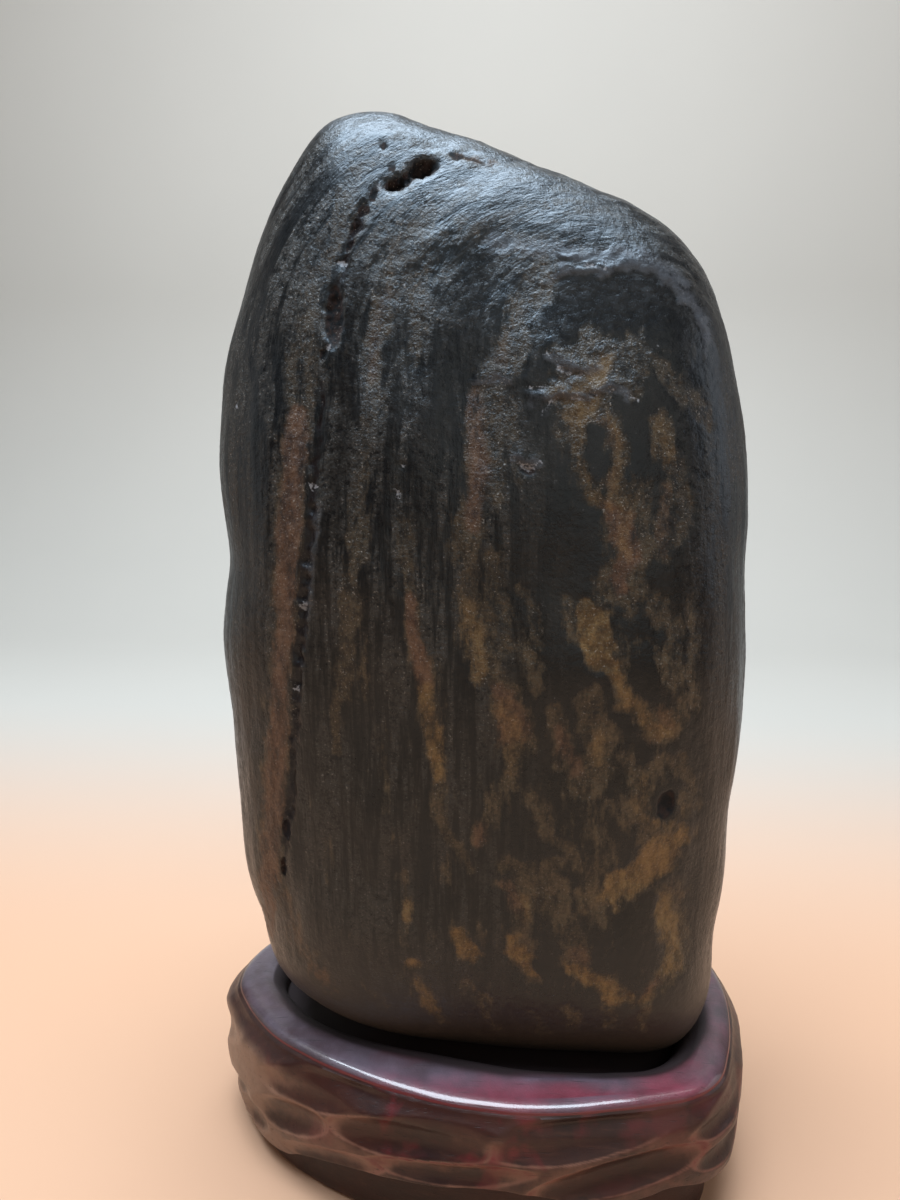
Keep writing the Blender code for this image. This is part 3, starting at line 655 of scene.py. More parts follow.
def ledge_lift(point):
    """Height of the low ledges, and how near their edge is, where a painted sheen goes."""
    lift, edge = 0.0, 0.0
    if point.y > -4 or not in_box(point, LEDGE_BOX):
        return lift, edge
    a, b = warped(point, 2.6, 1.3, 9.9)
    c, d = warped(point, 0.9, 0.4, 5.9)
    for height, fade, *points in LEDGES:
        away, side, share, _ = beside_line(point.x + a + c, point.z + b + d, points)
        if away < fade + 1:
            ends = smooth_step(0, 0.15, share) * (1 - smooth_step(0.85, 1, share))
            signed = away * side
            step = smooth_step(-0.8, 0.8, signed) * (1 - smooth_step(1, fade, signed))
            lift += height * ends * step
            edge = max(edge, ends * (1 - smooth_step(0.1, 1.7, abs(signed - 0.5))))
    return lift, edge


def layer_relief(point, plain):
    """Fine ridges where the layers come out at the skin."""
    place = layer_place(point)
    ridges = 0.0
    for lift, length, back, shift in LAYER_RIDGES:
        stretched = Vector((place.x / length, place.y / back, place.z / length))
        ridges += lift * noise.noise(stretched + Vector(shift))
    return ridges * plain


def finish_skin(bm):
    """Cut the pits, grooves, ledges and layers into the skin, and note each finish and where
    painted sheen and highlights go.
    """
    tree = BVHTree.FromBMesh(bm)

    def spot(across, height):
        return tree.ray_cast(Vector((across, -200, height)), Vector((0, 1, 0)))[:2]

    pits = [Pit(spot, *pit) for pit in PITS]
    chips = [(spot(across, height)[0], radius) for across, height, radius in CHIPS]
    grain = bm.verts.layers.float_vector.new("grain")
    veins = bm.verts.layers.float_color.new("veins")
    wear_and_light = bm.verts.layers.float_color.new("wear_and_light")

    def amount(vert):
        point = vert.co
        foot_fade = smooth_step(STAND_HEIGHT - 2, STAND_HEIGHT + 12, point.z)
        ochre, rust, tan, island = vein_strengths(point)
        plain = layered(point) * (1 - 0.85 * island)
        vert[veins] = (ochre, rust, tan, plain)
        vert[grain] = layer_place(point)
        sinks = [(pit.sink(point), pit.depth) for pit in pits]
        pitted = max(sink for sink, _ in sinks)
        hollow = max(sink / depth * smooth_step(0.15, 0.5, depth) for sink, depth in sinks)
        groove = max(groove_at(point, GROOVE, GROOVE_BOX), groove_at(point, SEAM, SEAM_BOX))
        lift, edge = ledge_lift(point)
        chip = 0.0
        for place, radius in chips:
            away = (place - point).length
            chip = max(chip, 1 - away / (1.6 * radius + 0.7) + 0.6 * noise.noise(point / 0.6))
        a, b = warped(point, 2.0, 0.8, 2.6)
        # Rubbed streaks and ledge edges, marked for their grey painted sheen.
        edge = max(edge, RUBBED_AND_SHEEN_MARKS.at(point.x + a, point.z + b) * smooth_step(0, 4, -point.y))
        if point.y < -5:
            # Bruised lines on the ledge edges, partly painted highlight.
            chip = max(chip, 0.75 * BRUISE_AND_HIGHLIGHT_MARKS.at(point.x + 0.5 * a, point.z + 0.5 * b))
        grainy = max(ochre, 0.8 * rust, 0.7 * tan)
        vert[wear_and_light] = (hollow, min(1.0, groove / 0.5), max(chip, 0.0), edge)
        relief = layer_relief(point, plain) + lift
        relief -= max(pitted, groove) + 0.3 * chip
        relief -= grainy * (0.22 + 0.22 * noise.noise(point / 1.6 + Vector((3, 3, 3))))
        relief += (0.05 + 0.12 * edge) * noise.noise(point / 1.1)
        return relief * foot_fade

    push(bm, amount)


def stone_skin():
    """The stone's plain skin, with twice as many faces across its face."""
    bm = bmesh.new()
    gridded_cube(bm, STONE_CUTS)
    for vert in bm.verts:
        vert.co = stone_point(vert.co.normalized() * Vector(STONE_HALF_SIZE))
    push(bm, lambda vert: swelling(vert.co))
    bmesh.ops.recalc_face_normals(bm, faces=bm.faces)
    bm.normal_update()
    slope, low = FINER_FACE
    front = [face for face in bm.faces if face.normal.y < slope]
    front = [face for face in front if face.calc_center_median().z > low]
    edges = list({edge for face in front for edge in face.edges})
    bmesh.ops.subdivide_edges(bm, edges=edges, cuts=1, use_grid_fill=True, smooth=0)
    return bm


def make_stone(material):
    """The stone, and its skin for fitting the seat to."""
    bm = stone_skin()
    finish_skin(bm)
    bmesh.ops.recalc_face_normals(bm, faces=bm.faces)
    underside = BVHTree.FromBMesh(bm)
    return new_piece("river_stone", bm, material, sharp=70), underside


# ---------------------------------------------------------------- the stand's shape
def stand_place(angle, offset=0.0, height=0.0):
    """The place at an angle round the stand, an offset out from the rim and a height."""
    radius = RIM.at(angle) + offset
    return Vector((radius * math.cos(angle), radius * math.sin(angle), height))


def gouge_depth(angle, height, here):
    """Depth of the gouge cuts at a place on the wall. They meet in narrow ridges."""
    deepest, second, side = 0.0, 0.0, 0.0
    for cut, cut_place in zip(GOUGE_CUTS, CUT_PLACES):
        degrees, level, half_length, half_width, rise, depth = cut
        turn = (angle - math.radians(degrees) + math.pi) % math.tau - math.pi
        if abs(turn) > 1:
            continue
        along = math.copysign((here - cut_place).length, turn)
        across = height - level - rise * along
        bowl = depth * (1 - (along / half_length) ** 2 - (across / half_width) ** 2)
        if bowl > deepest:
            deepest, second, side = bowl, deepest, across / half_width
        elif bowl > second:
            second = bowl
    gap = deepest - second
    fade = 1 - smooth_step(*GOUGE_FADE, height)
    rounding = RIDGE_ROUNDING * max(0.0, 1 - gap / ROUNDING_REACH) ** 2
    ridge = (1 - smooth_step(0.0, RIDGE_WIDTH, gap)) * smooth_step(0.05, 0.4, deepest)
    shallow = 1 - smooth_step(0.0, 2.0, deepest)
    hollow = smooth_step(0.0, 0.5, deepest)
    lower_half = (1 - smooth_step(-0.7, 0.1, side)) * smooth_step(0.1, 0.6, deepest)
    # Wear with painted light: tan reflection painted on ridges, shallows and hollows, and painted
    # shade deep in each gouge and in its lower half.
    wear_and_light = RIDGE_WEAR_AND_REFLECTION * ridge + SHALLOW_LIGHT_DEEP_SHADE * shallow
    wear_and_light += HOLLOW_REFLECTION * hollow + LOWER_HALF_SHADE * lower_half
    return (deepest + rounding) * fade, wear_and_light * fade


CUT_PLACES = [stand_place(math.radians(cut[0])) for cut in GOUGE_CUTS]


def plinth_offset(angle):
    """How far the plinth stands out from the rim, which is less than nothing."""
    return -PLINTH_SET_BACK - PLINTH_SET_BACK_RIGHT * math.cos(angle)


def tool_marks(angle, height):
    """The slight waviness that hand tools leave."""
    place = stand_place(angle, 0, height)
    return 0.16 * noise.noise(place / 7.5) + 0.07 * noise.noise(place / 2.6 + Vector((4, 4, 4)))


def wall_place(angle, share):
    """Offset from the rim, height, and wear with painted light, at a share of the way up the carved
    wall.
    """
    low = SKIRT.at(angle)
    height = low + (STAND_HEIGHT - BAND_UNDER_RIM - low) * share
    swell = WALL_SWELL - SWELL_LEFT * math.cos(angle)
    swell *= smooth_step(BAND_UNDER_RIM - 0.8, SWELL_DROP + 0.8, STAND_HEIGHT - height)
    foot = plinth_offset(angle) + SKIRT_OVERHANG
    offset = foot + (swell - foot) * smooth_step(SWELL_FROM, SWELL_FULL, height)
    gouge, wear_and_light = gouge_depth(angle, height, stand_place(angle))
    wear_and_light *= 1 - 0.8 * smooth_step(*DARKER_TO_RIM, height)
    return offset - gouge + tool_marks(angle, height), height, wear_and_light


def rim_width(angle):
    """The rim is widest in front."""
    return RIM_WIDTH + RIM_WIDER_IN_FRONT * max(0.0, -math.sin(angle)) ** 2


def rim_top(angle, share):
    """The slightly crowned top of the rim, from its rounded outer edge to the seat."""
    start = edge_turn(0)[0]
    offset = start - (rim_width(angle) + start) * share
    dents = 0.07 * noise.noise(stand_place(angle, offset) / 9 + Vector((1, 1, 6)))
    crown = RIM_CROWN * (1 - smooth_step(0.0, 0.75, share))
    crown += RIM_INNER_DROP * smooth_step(0.75, 1.0, share)
    across, half = RED_PATCH
    away = (stand_place(angle).x - across) / half if math.sin(angle) < 0 else 9
    patch = 0.8 * (1 - smooth_step(0.0, 1.0, abs(away))) * (1 - 0.6 * share)
    off_the_ends = smooth_step(-0.1, 0.45, abs(math.sin(angle)))
    # Painted shade on the inner part of the rim towards the seat, less at the ends.
    patch -= 0.75 * smooth_step(*SHADE_SHARE, share) * off_the_ends
    return offset, STAND_HEIGHT - crown + dents * math.sin(share * math.pi), patch


def seat_wall(angle, share):
    """The soft turn from the top of the rim down into the seat."""
    turn = share * math.pi / 2
    offset = -rim_width(angle) - SEAT_WALL_SLOPE * math.sin(turn)
    drop = (SEAT_DEPTH - RIM_INNER_DROP) * (1 - math.cos(turn))
    # The last value paints the seat wall in shade.
    return offset, STAND_HEIGHT - RIM_INNER_DROP - drop, -0.7 - 0.3 * share


def seat_place(angle, share):
    """The floor of the seat, from its wall to its middle."""
    edge = RIM.at(angle) - rim_width(angle) - SEAT_WALL_SLOPE
    # The last value paints the seat floor in full shade.
    return -RIM.at(angle) + edge * (1 - share), STAND_HEIGHT - SEAT_DEPTH, -1.0


def stand_rings():
    """Rings of the stand from its underside up and over into the seat."""
    yield lambda angle: (plinth_offset(angle) - FOOT_CHAMFER - 3, 0.0, 0.0)
    for share in (0.0, 0.5, 1.0):
        yield lambda angle, share=share: (
            plinth_offset(angle) - FOOT_CHAMFER * (1 - share) ** 2,
            FOOT_CHAMFER * share * (2 - share) * 0.999, FOOT_WEAR,
        )
    for share in (0.15, 0.4, 0.65, 0.85, 1.0):
        yield lambda angle, share=share: (
            plinth_offset(angle) + 0.1 * tool_marks(angle, 30 * share),
            FOOT_CHAMFER + (SKIRT.at(angle) - SKIRT_UNDERCUT - FOOT_CHAMFER) * share, PLINTH_SHADE,
        )
    yield lambda angle: (
        wall_place(angle, 0)[0] - SKIRT_LIP, SKIRT.at(angle) - SKIRT_UNDERCUT, FOOT_WEAR,
    )
    for step in range(1, LIP_ROWS):
        yield lambda angle, step=step: skirt_lip(angle, step / LIP_ROWS)
    for row in range(WALL_ROWS):
        yield lambda angle, share=row / (WALL_ROWS - 1): wall_place(angle, share)
    for index in range(len(EDGE_TURNS) + 1):
        yield lambda angle, index=index: rim_edge(angle)[index]
    for step in range(1, RIM_ROWS):
        yield lambda angle, step=step: rim_top(angle, step / (RIM_ROWS - 1))
    for step in range(1, SEAT_WALL_ROWS + 1):
        yield lambda angle, step=step: seat_wall(angle, step / SEAT_WALL_ROWS)
    for step in range(1, SEAT_ROWS):
        yield lambda angle, step=step: seat_place(angle, step / SEAT_ROWS)


def skirt_lip(angle, share):
    """The small rounded lip under the carved wall."""
    offset, height, _ = wall_place(angle, 0)
    turn = share * math.pi / 2
    offset -= SKIRT_LIP * (1 - math.sin(turn)) * 0.6
    return offset, height - SKIRT_UNDERCUT * math.cos(turn), LIP_WEAR


def edge_turn(degrees):
    """Offset and drop on the rim's edge where it leans out by an angle."""
    lean = math.radians(degrees)
    held = min(lean, SHOULDER_TURN)
    offset = EDGE_OUT - EDGE_ROUND * (1 - math.sin(SHOULDER_TURN))
    offset -= SHOULDER_ROUND * (math.sin(SHOULDER_TURN) - math.sin(held))
    drop = SHOULDER_ROUND * (1 - math.cos(held))
    if lean > SHOULDER_TURN:
        offset += EDGE_ROUND * (math.sin(lean) - math.sin(SHOULDER_TURN))
        drop += EDGE_ROUND * (math.cos(SHOULDER_TURN) - math.cos(lean))
    return offset, drop


def rim_edge(angle):
    """The band under the rim and the soft turn of its outer edge."""
    top = wall_place(angle, 1)
    waver = 0.12 * noise.noise(stand_place(angle) / 8 + Vector((7, 0, 0)))
    turns = []
    for degrees in EDGE_TURNS:
        offset, drop = edge_turn(degrees)
        red = EDGE_WEAR * smooth_step(*EDGE_WEAR_TURN, degrees)
        turns.append((offset + waver, STAND_HEIGHT - RIM_CROWN - drop, red))
    low = turns[0]
    band = (top[0] + low[0]) / 2 - 0.10, (top[1] + low[1]) / 2, BAND_WEAR
    return [band, *turns]


def drawn_body(bm, sides, rings):
    """A closed body drawn ring by ring from a disc.

    A ring gives the place, and the wear with painted shade, for an angle.
    """
    bmesh.ops.create_circle(bm, cap_ends=True, segments=sides, radius=1)
    turn = bm.verts.layers.float.new("turn")
    worn = bm.verts.layers.float.new("worn")
    for vert in bm.verts:
        vert[turn] = math.atan2(vert.co.y, vert.co.x)
    edges = bm.edges[:]
    for index, ring in enumerate(rings):
        if index:
            made = bmesh.ops.extrude_edge_only(bm, edges=edges)["geom"]
            edges = [item for item in made if isinstance(item, bmesh.types.BMEdge)]
            edges = [edge for edge in edges if edge.is_boundary]
        for vert in {vert for edge in edges for vert in edge.verts}:
            vert.co, vert[worn] = ring(vert[turn])
    bmesh.ops.contextual_create(bm, geom=edges)
    bm.verts.layers.float.remove(turn)
    bmesh.ops.recalc_face_normals(bm, faces=bm.faces)


def make_stand(material, stone_underside):
    """The stand, with its seat cut clear of the stone and painted shade round it."""
    def placed(ring, angle):
        offset, height, worn = ring(angle)
        return stand_place(angle, offset, height), worn

    bm = bmesh.new()
    rings = (lambda angle, ring=ring: placed(ring, angle) for ring in stand_rings())
    drawn_body(bm, STAND_SIDES, rings)
    worn = bm.verts.layers.float["worn"]
    for vert in bm.verts:
        if vert.co.z > STAND_HEIGHT - SEAT_DEPTH - 1:
            under = Vector((vert.co.x, vert.co.y, 5))
            found = stone_underside.ray_cast(under, Vector((0, 0, 1)))[0]
            if found and found.z - SEAT_GAP < vert.co.z:
                vert.co.z = found.z - SEAT_GAP
            near = stone_underside.find_nearest(vert.co)[3]
            # Painted shade on the rim and seat, deeper the nearer the stone.
            vert[worn] -= 1 - smooth_step(*SHADE_REACH, near)
    return new_piece("carved_stand", bm, material, sharp=50)


# ---------------------------------------------------------------- finishes
class Value:
    """A number that varies over a surface, ready for sums."""

    def __init__(self, paint, socket):
        self.paint, self.socket = paint, socket

    def sum(self, operation, *terms, clamp=False):
        settings = {"operation": operation, "use_clamp": clamp}
        return self.paint.node("ShaderNodeMath", settings, dict(enumerate(terms)))

    def __add__(self, other):
        return self.sum("ADD", self, other)

    def __radd__(self, other):
        return self.sum("ADD", other, self)

    def __sub__(self, other):
        return self.sum("SUBTRACT", self, other)

    def __rsub__(self, other):
        return self.sum("SUBTRACT", other, self)

    def __mul__(self, other):
        return self.sum("MULTIPLY", self, other)

    def __rmul__(self, other):
        return self.sum("MULTIPLY", other, self)

    def held(self):
        """The value kept between 0 and 1."""
        return self.sum("ADD", self, 0.0, clamp=True)

    def ramp(self, low, high):
        """0 below low, 1 above high, and a smooth turn between them."""
        limits = {"Value": self, "From Min": low, "From Max": high}
        return self.paint.node("ShaderNodeMapRange", {"interpolation_type": "SMOOTHSTEP"}, limits)

    def most(self, other):
        return self.sum("MAXIMUM", self, other)


class Paint:
    """One finish, built from nodes."""

    def __init__(self, name):
        self.material = bpy.data.materials.new(name)
        self.material.use_nodes = True
        self.tree = self.material.node_tree
        self.tree.nodes.clear()

    def node(self, kind, settings=None, sockets=None, output=0):
        """Add a node: its settings first, then the values or links of its sockets."""
        node = self.tree.nodes.new(kind)
        for key, value in (settings or {}).items():
            setattr(node, key, value)
        for key, value in (sockets or {}).items():
            if isinstance(value, Value):
                self.tree.links.new(value.socket, node.inputs[key])
            elif value is not None:
                node.inputs[key].default_value = value
        return Value(self, node.outputs[output]) if node.outputs else node

    def place(self):
        return self.node("ShaderNodeTexCoord", output="Object")

    def attribute(self, name, output="Fac"):
        return self.node("ShaderNodeAttribute", {"attribute_name": name}, output=output)

    def parts(self, value, kind="ShaderNodeSeparateColor"):
        """The three numbers that a colour is made of."""
        split = self.node(kind, sockets={0: value})
        return [Value(self, socket) for socket in split.socket.node.outputs]

    def axes(self, place):
        """The three numbers of a place: across, back and up."""
        return self.parts(place, "ShaderNodeSeparateXYZ")

    def scaled(self, vector, scale):
        return self.node("ShaderNodeMapping", sockets={"Vector": vector, "Scale": scale})

    def noise(self, vector, scale, detail=2.0, roughness=0.5, distortion=0.0):
        return self.node("ShaderNodeTexNoise", sockets={
            "Vector": vector, "Scale": scale, "Detail": detail, "Roughness": roughness,
            "Distortion": distortion,
        })

    def blend(self, share, first, second):
        """A colour between two, by a share."""
        return self.node("ShaderNodeMix", {"data_type": "RGBA"}, {
            0: share, 6: colour_of(first), 7: colour_of(second),
        }, output=2)

    def shade(self, colour, factor):
        """A colour made lighter or darker by a factor."""
        grey = self.node("ShaderNodeCombineColor", sockets={0: factor, 1: factor, 2: factor})
        return self.node("ShaderNodeMix", {"data_type": "RGBA", "blend_type": "MULTIPLY"}, {
            0: 1.0, 6: colour_of(colour), 7: grey,
        }, output=2)

    def bump(self, height, distance, strength=1.0, below=None):
        return self.node("ShaderNodeBump", sockets={
            "Height": height, "Distance": distance, "Strength": strength, "Normal": below,
        })

    def finish(self, **sockets):
        """Close the finish with its surface shader."""
        named = {name.replace("_", " "): value for name, value in sockets.items()}
        shader = self.node("ShaderNodeBsdfPrincipled", sockets=named)
        self.node("ShaderNodeOutputMaterial", sockets={"Surface": shader})
        return self.material


def colour_of(value):
    """A plain colour given its fourth number; anything else as it is."""
    return (*value, 1.0) if isinstance(value, tuple) and len(value) == 3 else value


# Colours of the stone. Pairs run from the dark grains of a vein to its pale ones.
COOL_BLACK = (0.0072, 0.0072, 0.0074)
BROWN_BLACK = (0.0125, 0.0084, 0.0046)
GRAINY_BAND = (0.046, 0.040, 0.032)
TAN_GRAINS = (0.0285, 0.0196, 0.0104), (0.078, 0.0562, 0.0312)
RUST_GRAINS = (0.078, 0.037, 0.020), (0.135, 0.074, 0.042)
OCHRE_GRAINS = (0.112, 0.065, 0.022), (0.190, 0.119, 0.045)
PIT_BROWNS = (0.003, 0.002, 0.0015), (0.024, 0.013, 0.009)
GROOVE_BROWN = (0.0085, 0.0042, 0.0032)
RUBBED_GREY_AND_SHEEN = (0.065, 0.068, 0.076)
BRUISE_AND_HIGHLIGHT_GREY = (0.20, 0.205, 0.22)
SPARKLE = (0.36, 0.34, 0.31)
FOOT_DUST = (0.0430, 0.0290, 0.0182)
COOL_SHEEN = (0.66, 0.84, 1.0, 1.0)


def stone_finish():
    paint = Paint("dark_river_stone")
    place = paint.place()
    grain = paint.attribute("grain", "Vector")
    ochre, rust, tan = paint.parts(paint.attribute("veins", "Color"))
    layered_here = paint.attribute("veins", "Alpha")
    pitted, groove, chip = paint.parts(paint.attribute("wear_and_light", "Color"))
    rubbed_and_sheen = paint.attribute("wear_and_light", "Alpha")
    height = paint.axes(place)[2]

    speck = paint.noise(place, 1900, 2, 0.6)
    grit_bumps = paint.noise(place, 1250, 3, 0.65)
    crumb = paint.noise(place, 620, 4, 0.62)
    cloud = paint.noise(place, 60, 4, 0.6)
    bands = paint.noise(grain, 0.36, 3, 0.6)
    lines = paint.noise(grain, 0.95, 4, 0.62)

    # Dark ground, cooler towards the top and browner towards the foot.
    brown = (height.ramp(0.19, 0.05) * 0.85 + cloud.ramp(0.35, 0.7) * 0.35).held()
    colour = paint.blend(brown, COOL_BLACK, BROWN_BLACK)
    streaked = (lines - 0.5) * 0.9 * layered_here + (bands - 0.5) * 0.9
    streaked = streaked + (crumb - 0.5) * 1.1 + (speck - 0.5) * 0.5
    colour = paint.shade(colour, (streaked + 1.0).most(0.35))

    # Grainy bands that follow the layers.
    stripe = bands.ramp(0.45, 0.57) * 0.85 + lines.ramp(0.50, 0.64) * 0.45
    stripe = (stripe * layered_here * (crumb * 0.6 + speck * 0.5).ramp(0.40, 0.64)).held()
    colour = paint.blend(stripe * 0.85, colour, GRAINY_BAND)

    # Veins: grainy tan with feathered edges, turning to rust and ochre inside.
    feather = paint.noise(paint.scaled(place, (1.0, 1.0, 0.5)), 300, 7, 0.74)
    streaks = paint.noise(paint.scaled(place, (1.3, 1.0, 0.32)), 620, 4, 0.66)
    torn = (feather - 0.5) * 1.7 + (streaks - 0.5) * 1.1 + (lines - 0.5) * 0.8 * layered_here
    vein_here = (tan.most(rust * 0.9).most(ochre) + torn).ramp(0.20, 0.82)
    grit = speck * 0.35 + crumb * 0.3 + feather * 0.35 + streaks * 0.25
    grit = grit.ramp(0.50, 0.74)
    patchy = (cloud - 0.5) * 0.9
    vein = paint.blend(grit, *TAN_GRAINS)
    vein = paint.blend((rust + patchy).ramp(0.3, 1.0) * 0.85, vein, paint.blend(grit, *RUST_GRAINS))
    golden = (ochre + patchy + (feather - 0.5) * 0.8).ramp(0.2, 1.1) * 0.92
    vein = paint.blend(golden, vein, paint.blend(grit, *OCHRE_GRAINS))
    # Painted shade: veins darker towards the top, holding back the top light there.
    painted_shade_above = height.ramp(0.10, 0.175) * (0.46 - rust * 0.25)
    shadowed = (feather.ramp(0.34, 0.62) * 0.6 + 0.55) * (1.0 - painted_shade_above)
    colour = paint.blend(vein_here * 0.92, colour, paint.shade(vein, shadowed))

    # Brown pits and groove, grey rubbed places with painted sheen, bruised places with painted
    # highlights on the ledge crests, and pale grains with painted glints.
    pit_brown = paint.blend(crumb.ramp(0.4, 0.6), *PIT_BROWNS)
    colour = paint.blend(pitted.ramp(0.08, 0.45), colour, pit_brown)
    colour = paint.blend(groove.ramp(0.15, 0.6) * 0.95, colour, GROOVE_BROWN)
    grey_and_sheen = (rubbed_and_sheen + (crumb - 0.5) * 0.9 + (speck - 0.5) * 0.5).ramp(0.30, 0.95)
    colour = paint.blend(grey_and_sheen * 0.6, colour, RUBBED_GREY_AND_SHEEN)
    bruise_and_highlight = (chip + (crumb - 0.5) * 1.8 + (speck - 0.5) * 1.2).ramp(0.45, 0.80)
    colour = paint.blend(bruise_and_highlight, colour, BRUISE_AND_HIGHLIGHT_GREY)
    grainy = (vein_here * 0.8).most(stripe)
    # Painted glints on the pale grains, stronger towards the top where the light falls.
    sparkle = paint.noise(place, 2400, 1, 0.5).ramp(0.63, 0.76) * grainy
    sparkle = sparkle * (0.25 + height.ramp(0.08, 0.18) * 0.3)
    colour = paint.blend(sparkle.held(), colour, SPARKLE)

    # Dusty and duller at the foot.
    foot = height.ramp(0.058, 0.036)
    colour = paint.blend(foot * (0.75 - vein_here * 0.5), colour, FOOT_DUST)
    rough = 0.25 + layered_here * 0.07 + grainy * 0.22 + (cloud - 0.5) * 0.2
    rough = rough + (crumb - 0.5) * 0.25 + pitted.ramp(0.05, 0.30) * 0.6 + foot * 0.35
    fine = paint.bump((lines - 0.5) * layered_here, 0.00030, 0.7)
    coarse = (crumb - 0.5) * (0.30 + grainy * 0.3) + (grit_bumps - 0.5) * (0.2 + grainy * 0.75)
    gritty = paint.bump(coarse * (1.0 - foot * 0.8), 0.00042, 0.85, fine)
    return paint.finish(
        Base_Color=colour, Roughness=rough.held(), Normal=gritty,
        Specular_Tint=COOL_SHEEN, Specular_IOR_Level=0.42,
    )


# Colours of the stand.
DEEP_LACQUERS = (0.013, 0.0036, 0.0038), (0.036, 0.0088, 0.0058)
RUBBED_WOOD_AND_REFLECTION = (0.215, 0.103, 0.070)
RUBBED_WOOD_AND_REFLECTION_LEFT = (0.205, 0.121, 0.082)
RUBBED_WOOD_AND_REFLECTION_RIGHT = (0.170, 0.050, 0.040)
CLEAR_RED = (0.108, 0.010, 0.013)
WOOD_FIBRE = (0.080, 0.030, 0.018)
RIM_REFLECTIONS = (0.140, 0.106, 0.138), (0.200, 0.040, 0.062)
PORE_BROWN = (0.006, 0.003, 0.003)
SEAT_SHADE = (0.0220, 0.0140, 0.0150)


def stand_finish():
    paint = Paint("red_brown_lacquer")
    place = paint.place()
    worn = paint.attribute("worn")
    cloud = paint.noise(place, 45, 4, 0.6)
    mottle = paint.noise(place, 160, 4, 0.6)
    fibre = paint.noise(paint.scaled(place, (60, 900, 900)), 1.0, 3, 0.6)
    pores = paint.noise(paint.scaled(place, (120, 2200, 2200)), 1.0, 2, 0.5).ramp(0.62, 0.72)
    dust = paint.noise(place, 3000, 2, 0.5)
    red_spots = paint.noise(place, 75, 3, 0.6, 0.4).ramp(0.49, 0.62)

    across, back, height = paint.axes(place)
    left_end = (across + (cloud - 0.5) * 0.012).ramp(-0.026, -0.054)
    right_end = across.ramp(0.022, 0.040)
    # Painted shade where the wear value falls below nothing: round the stone, in the seat, on the
    # plinth and deep in the gouges.
    painted_shade = (worn * -1.0).held()
    on_rim = height.ramp(0.0332, 0.0345) * (1.0 - painted_shade)
    polished = height.ramp(0.0325, 0.0343) * (1.0 - painted_shade)

    # Deep lacquer, rubbed to the wood on the ridges and to a clear red on the edges; the wood's tan
    # is partly painted reflection.
    colour = paint.blend(cloud.ramp(0.35, 0.68), *DEEP_LACQUERS)
    bare_and_reflection = worn + left_end * 0.25 + (mottle - 0.5) * 0.6 + (cloud - 0.5) * 0.5
    bare_and_reflection = bare_and_reflection.ramp(0.13, 0.56) * (1.0 - height.ramp(0.0285, 0.0310))
    wood_and_reflection = paint.blend(left_end, RUBBED_WOOD_AND_REFLECTION, RUBBED_WOOD_AND_REFLECTION_LEFT)
    wood_and_reflection = paint.blend(right_end * 0.4, wood_and_reflection, RUBBED_WOOD_AND_REFLECTION_RIGHT)
    colour = paint.blend(bare_and_reflection * 0.85, colour, wood_and_reflection)
    worn_red = (worn + (mottle - 0.5) * 0.7 - left_end * 0.3).ramp(0.38, 0.78)
    spotted = height.ramp(0.010, 0.026) * (1.0 - left_end - right_end * 0.65) * 0.75
    red = (red_spots * spotted + worn_red).held() * (1.0 - on_rim * 0.6)
    colour = paint.blend(red * 0.9, colour, CLEAR_RED)
    colour = paint.blend(fibre.ramp(0.5, 0.75) * 0.25, colour, WOOD_FIBRE)

    # A painted violet to red reflection on the rim top, stronger to the front, open pores, and
    # painted shade round the stone.
    reflection_reach = 0.52 + back.ramp(-0.022, -0.036) * 0.38 + right_end * 0.05 + (mottle - 0.5) * 1.3
    warm = worn.held() * 0.9 + back.ramp(-0.026, -0.038) * 0.75 + right_end * 0.5
    warm = warm + (cloud - 0.5) * 1.2 + (mottle - 0.5) * 0.6
    painted_reflection = paint.blend(warm.ramp(0.0, 1.0), *RIM_REFLECTIONS)
    colour = paint.blend((on_rim * reflection_reach).held(), colour, painted_reflection)
    colour = paint.blend(pores * 0.4, colour, PORE_BROWN)
    # Painted shade round the stone and in the seat.
    colour = paint.blend(painted_shade.ramp(0.0, 0.8) * 0.96, colour, SEAT_SHADE)
    rough = 0.44 + (mottle - 0.5) * 0.20 + dust.ramp(0.5, 0.7) * 0.06 + pores * 0.12 + painted_shade * 0.3
    gloss = 0.18 + polished * 0.8 - painted_shade * 1.2
    skin = (fibre - 0.5) * 0.4 + (mottle - 0.5) * 1.5 - pores * 0.3
    skin = skin + (dust - 0.5) * (0.25 + polished * 0.55)
    return paint.finish(
        Base_Color=colour, Roughness=rough.held(), Normal=paint.bump(skin, 0.00012, 0.7),
        Coat_Weight=gloss.held(), Coat_Roughness=0.12, Specular_IOR_Level=0.35,
    )


PEACH_PAPER = (0.500, 0.295, 0.185)
GREY_PAPER = (0.420, 0.395, 0.355)


def paper_finish():
    """Pale warm paper on the floor, turning plainer up the backdrop."""
    paint = Paint("pale_paper")
    place = paint.place()
    back = paint.axes(place)[1]
    colour = paint.blend(back.ramp(0.03, 0.30), PEACH_PAPER, GREY_PAPER)
    mottle = paint.noise(place, 6, 3, 0.5)
    return paint.finish(Base_Color=paint.shade(colour, mottle * 0.06 + 0.97), Roughness=0.75)


# ---------------------------------------------------------------- setting
# The floor and the backdrop it turns up into.
FLOOR_HALF_WIDTH = 1800.0
FLOOR_FRONT, FLOOR_BACK = -1200.0, 420.0
BACKDROP_TURN = 300.0
BACKDROP_RISE = 900.0


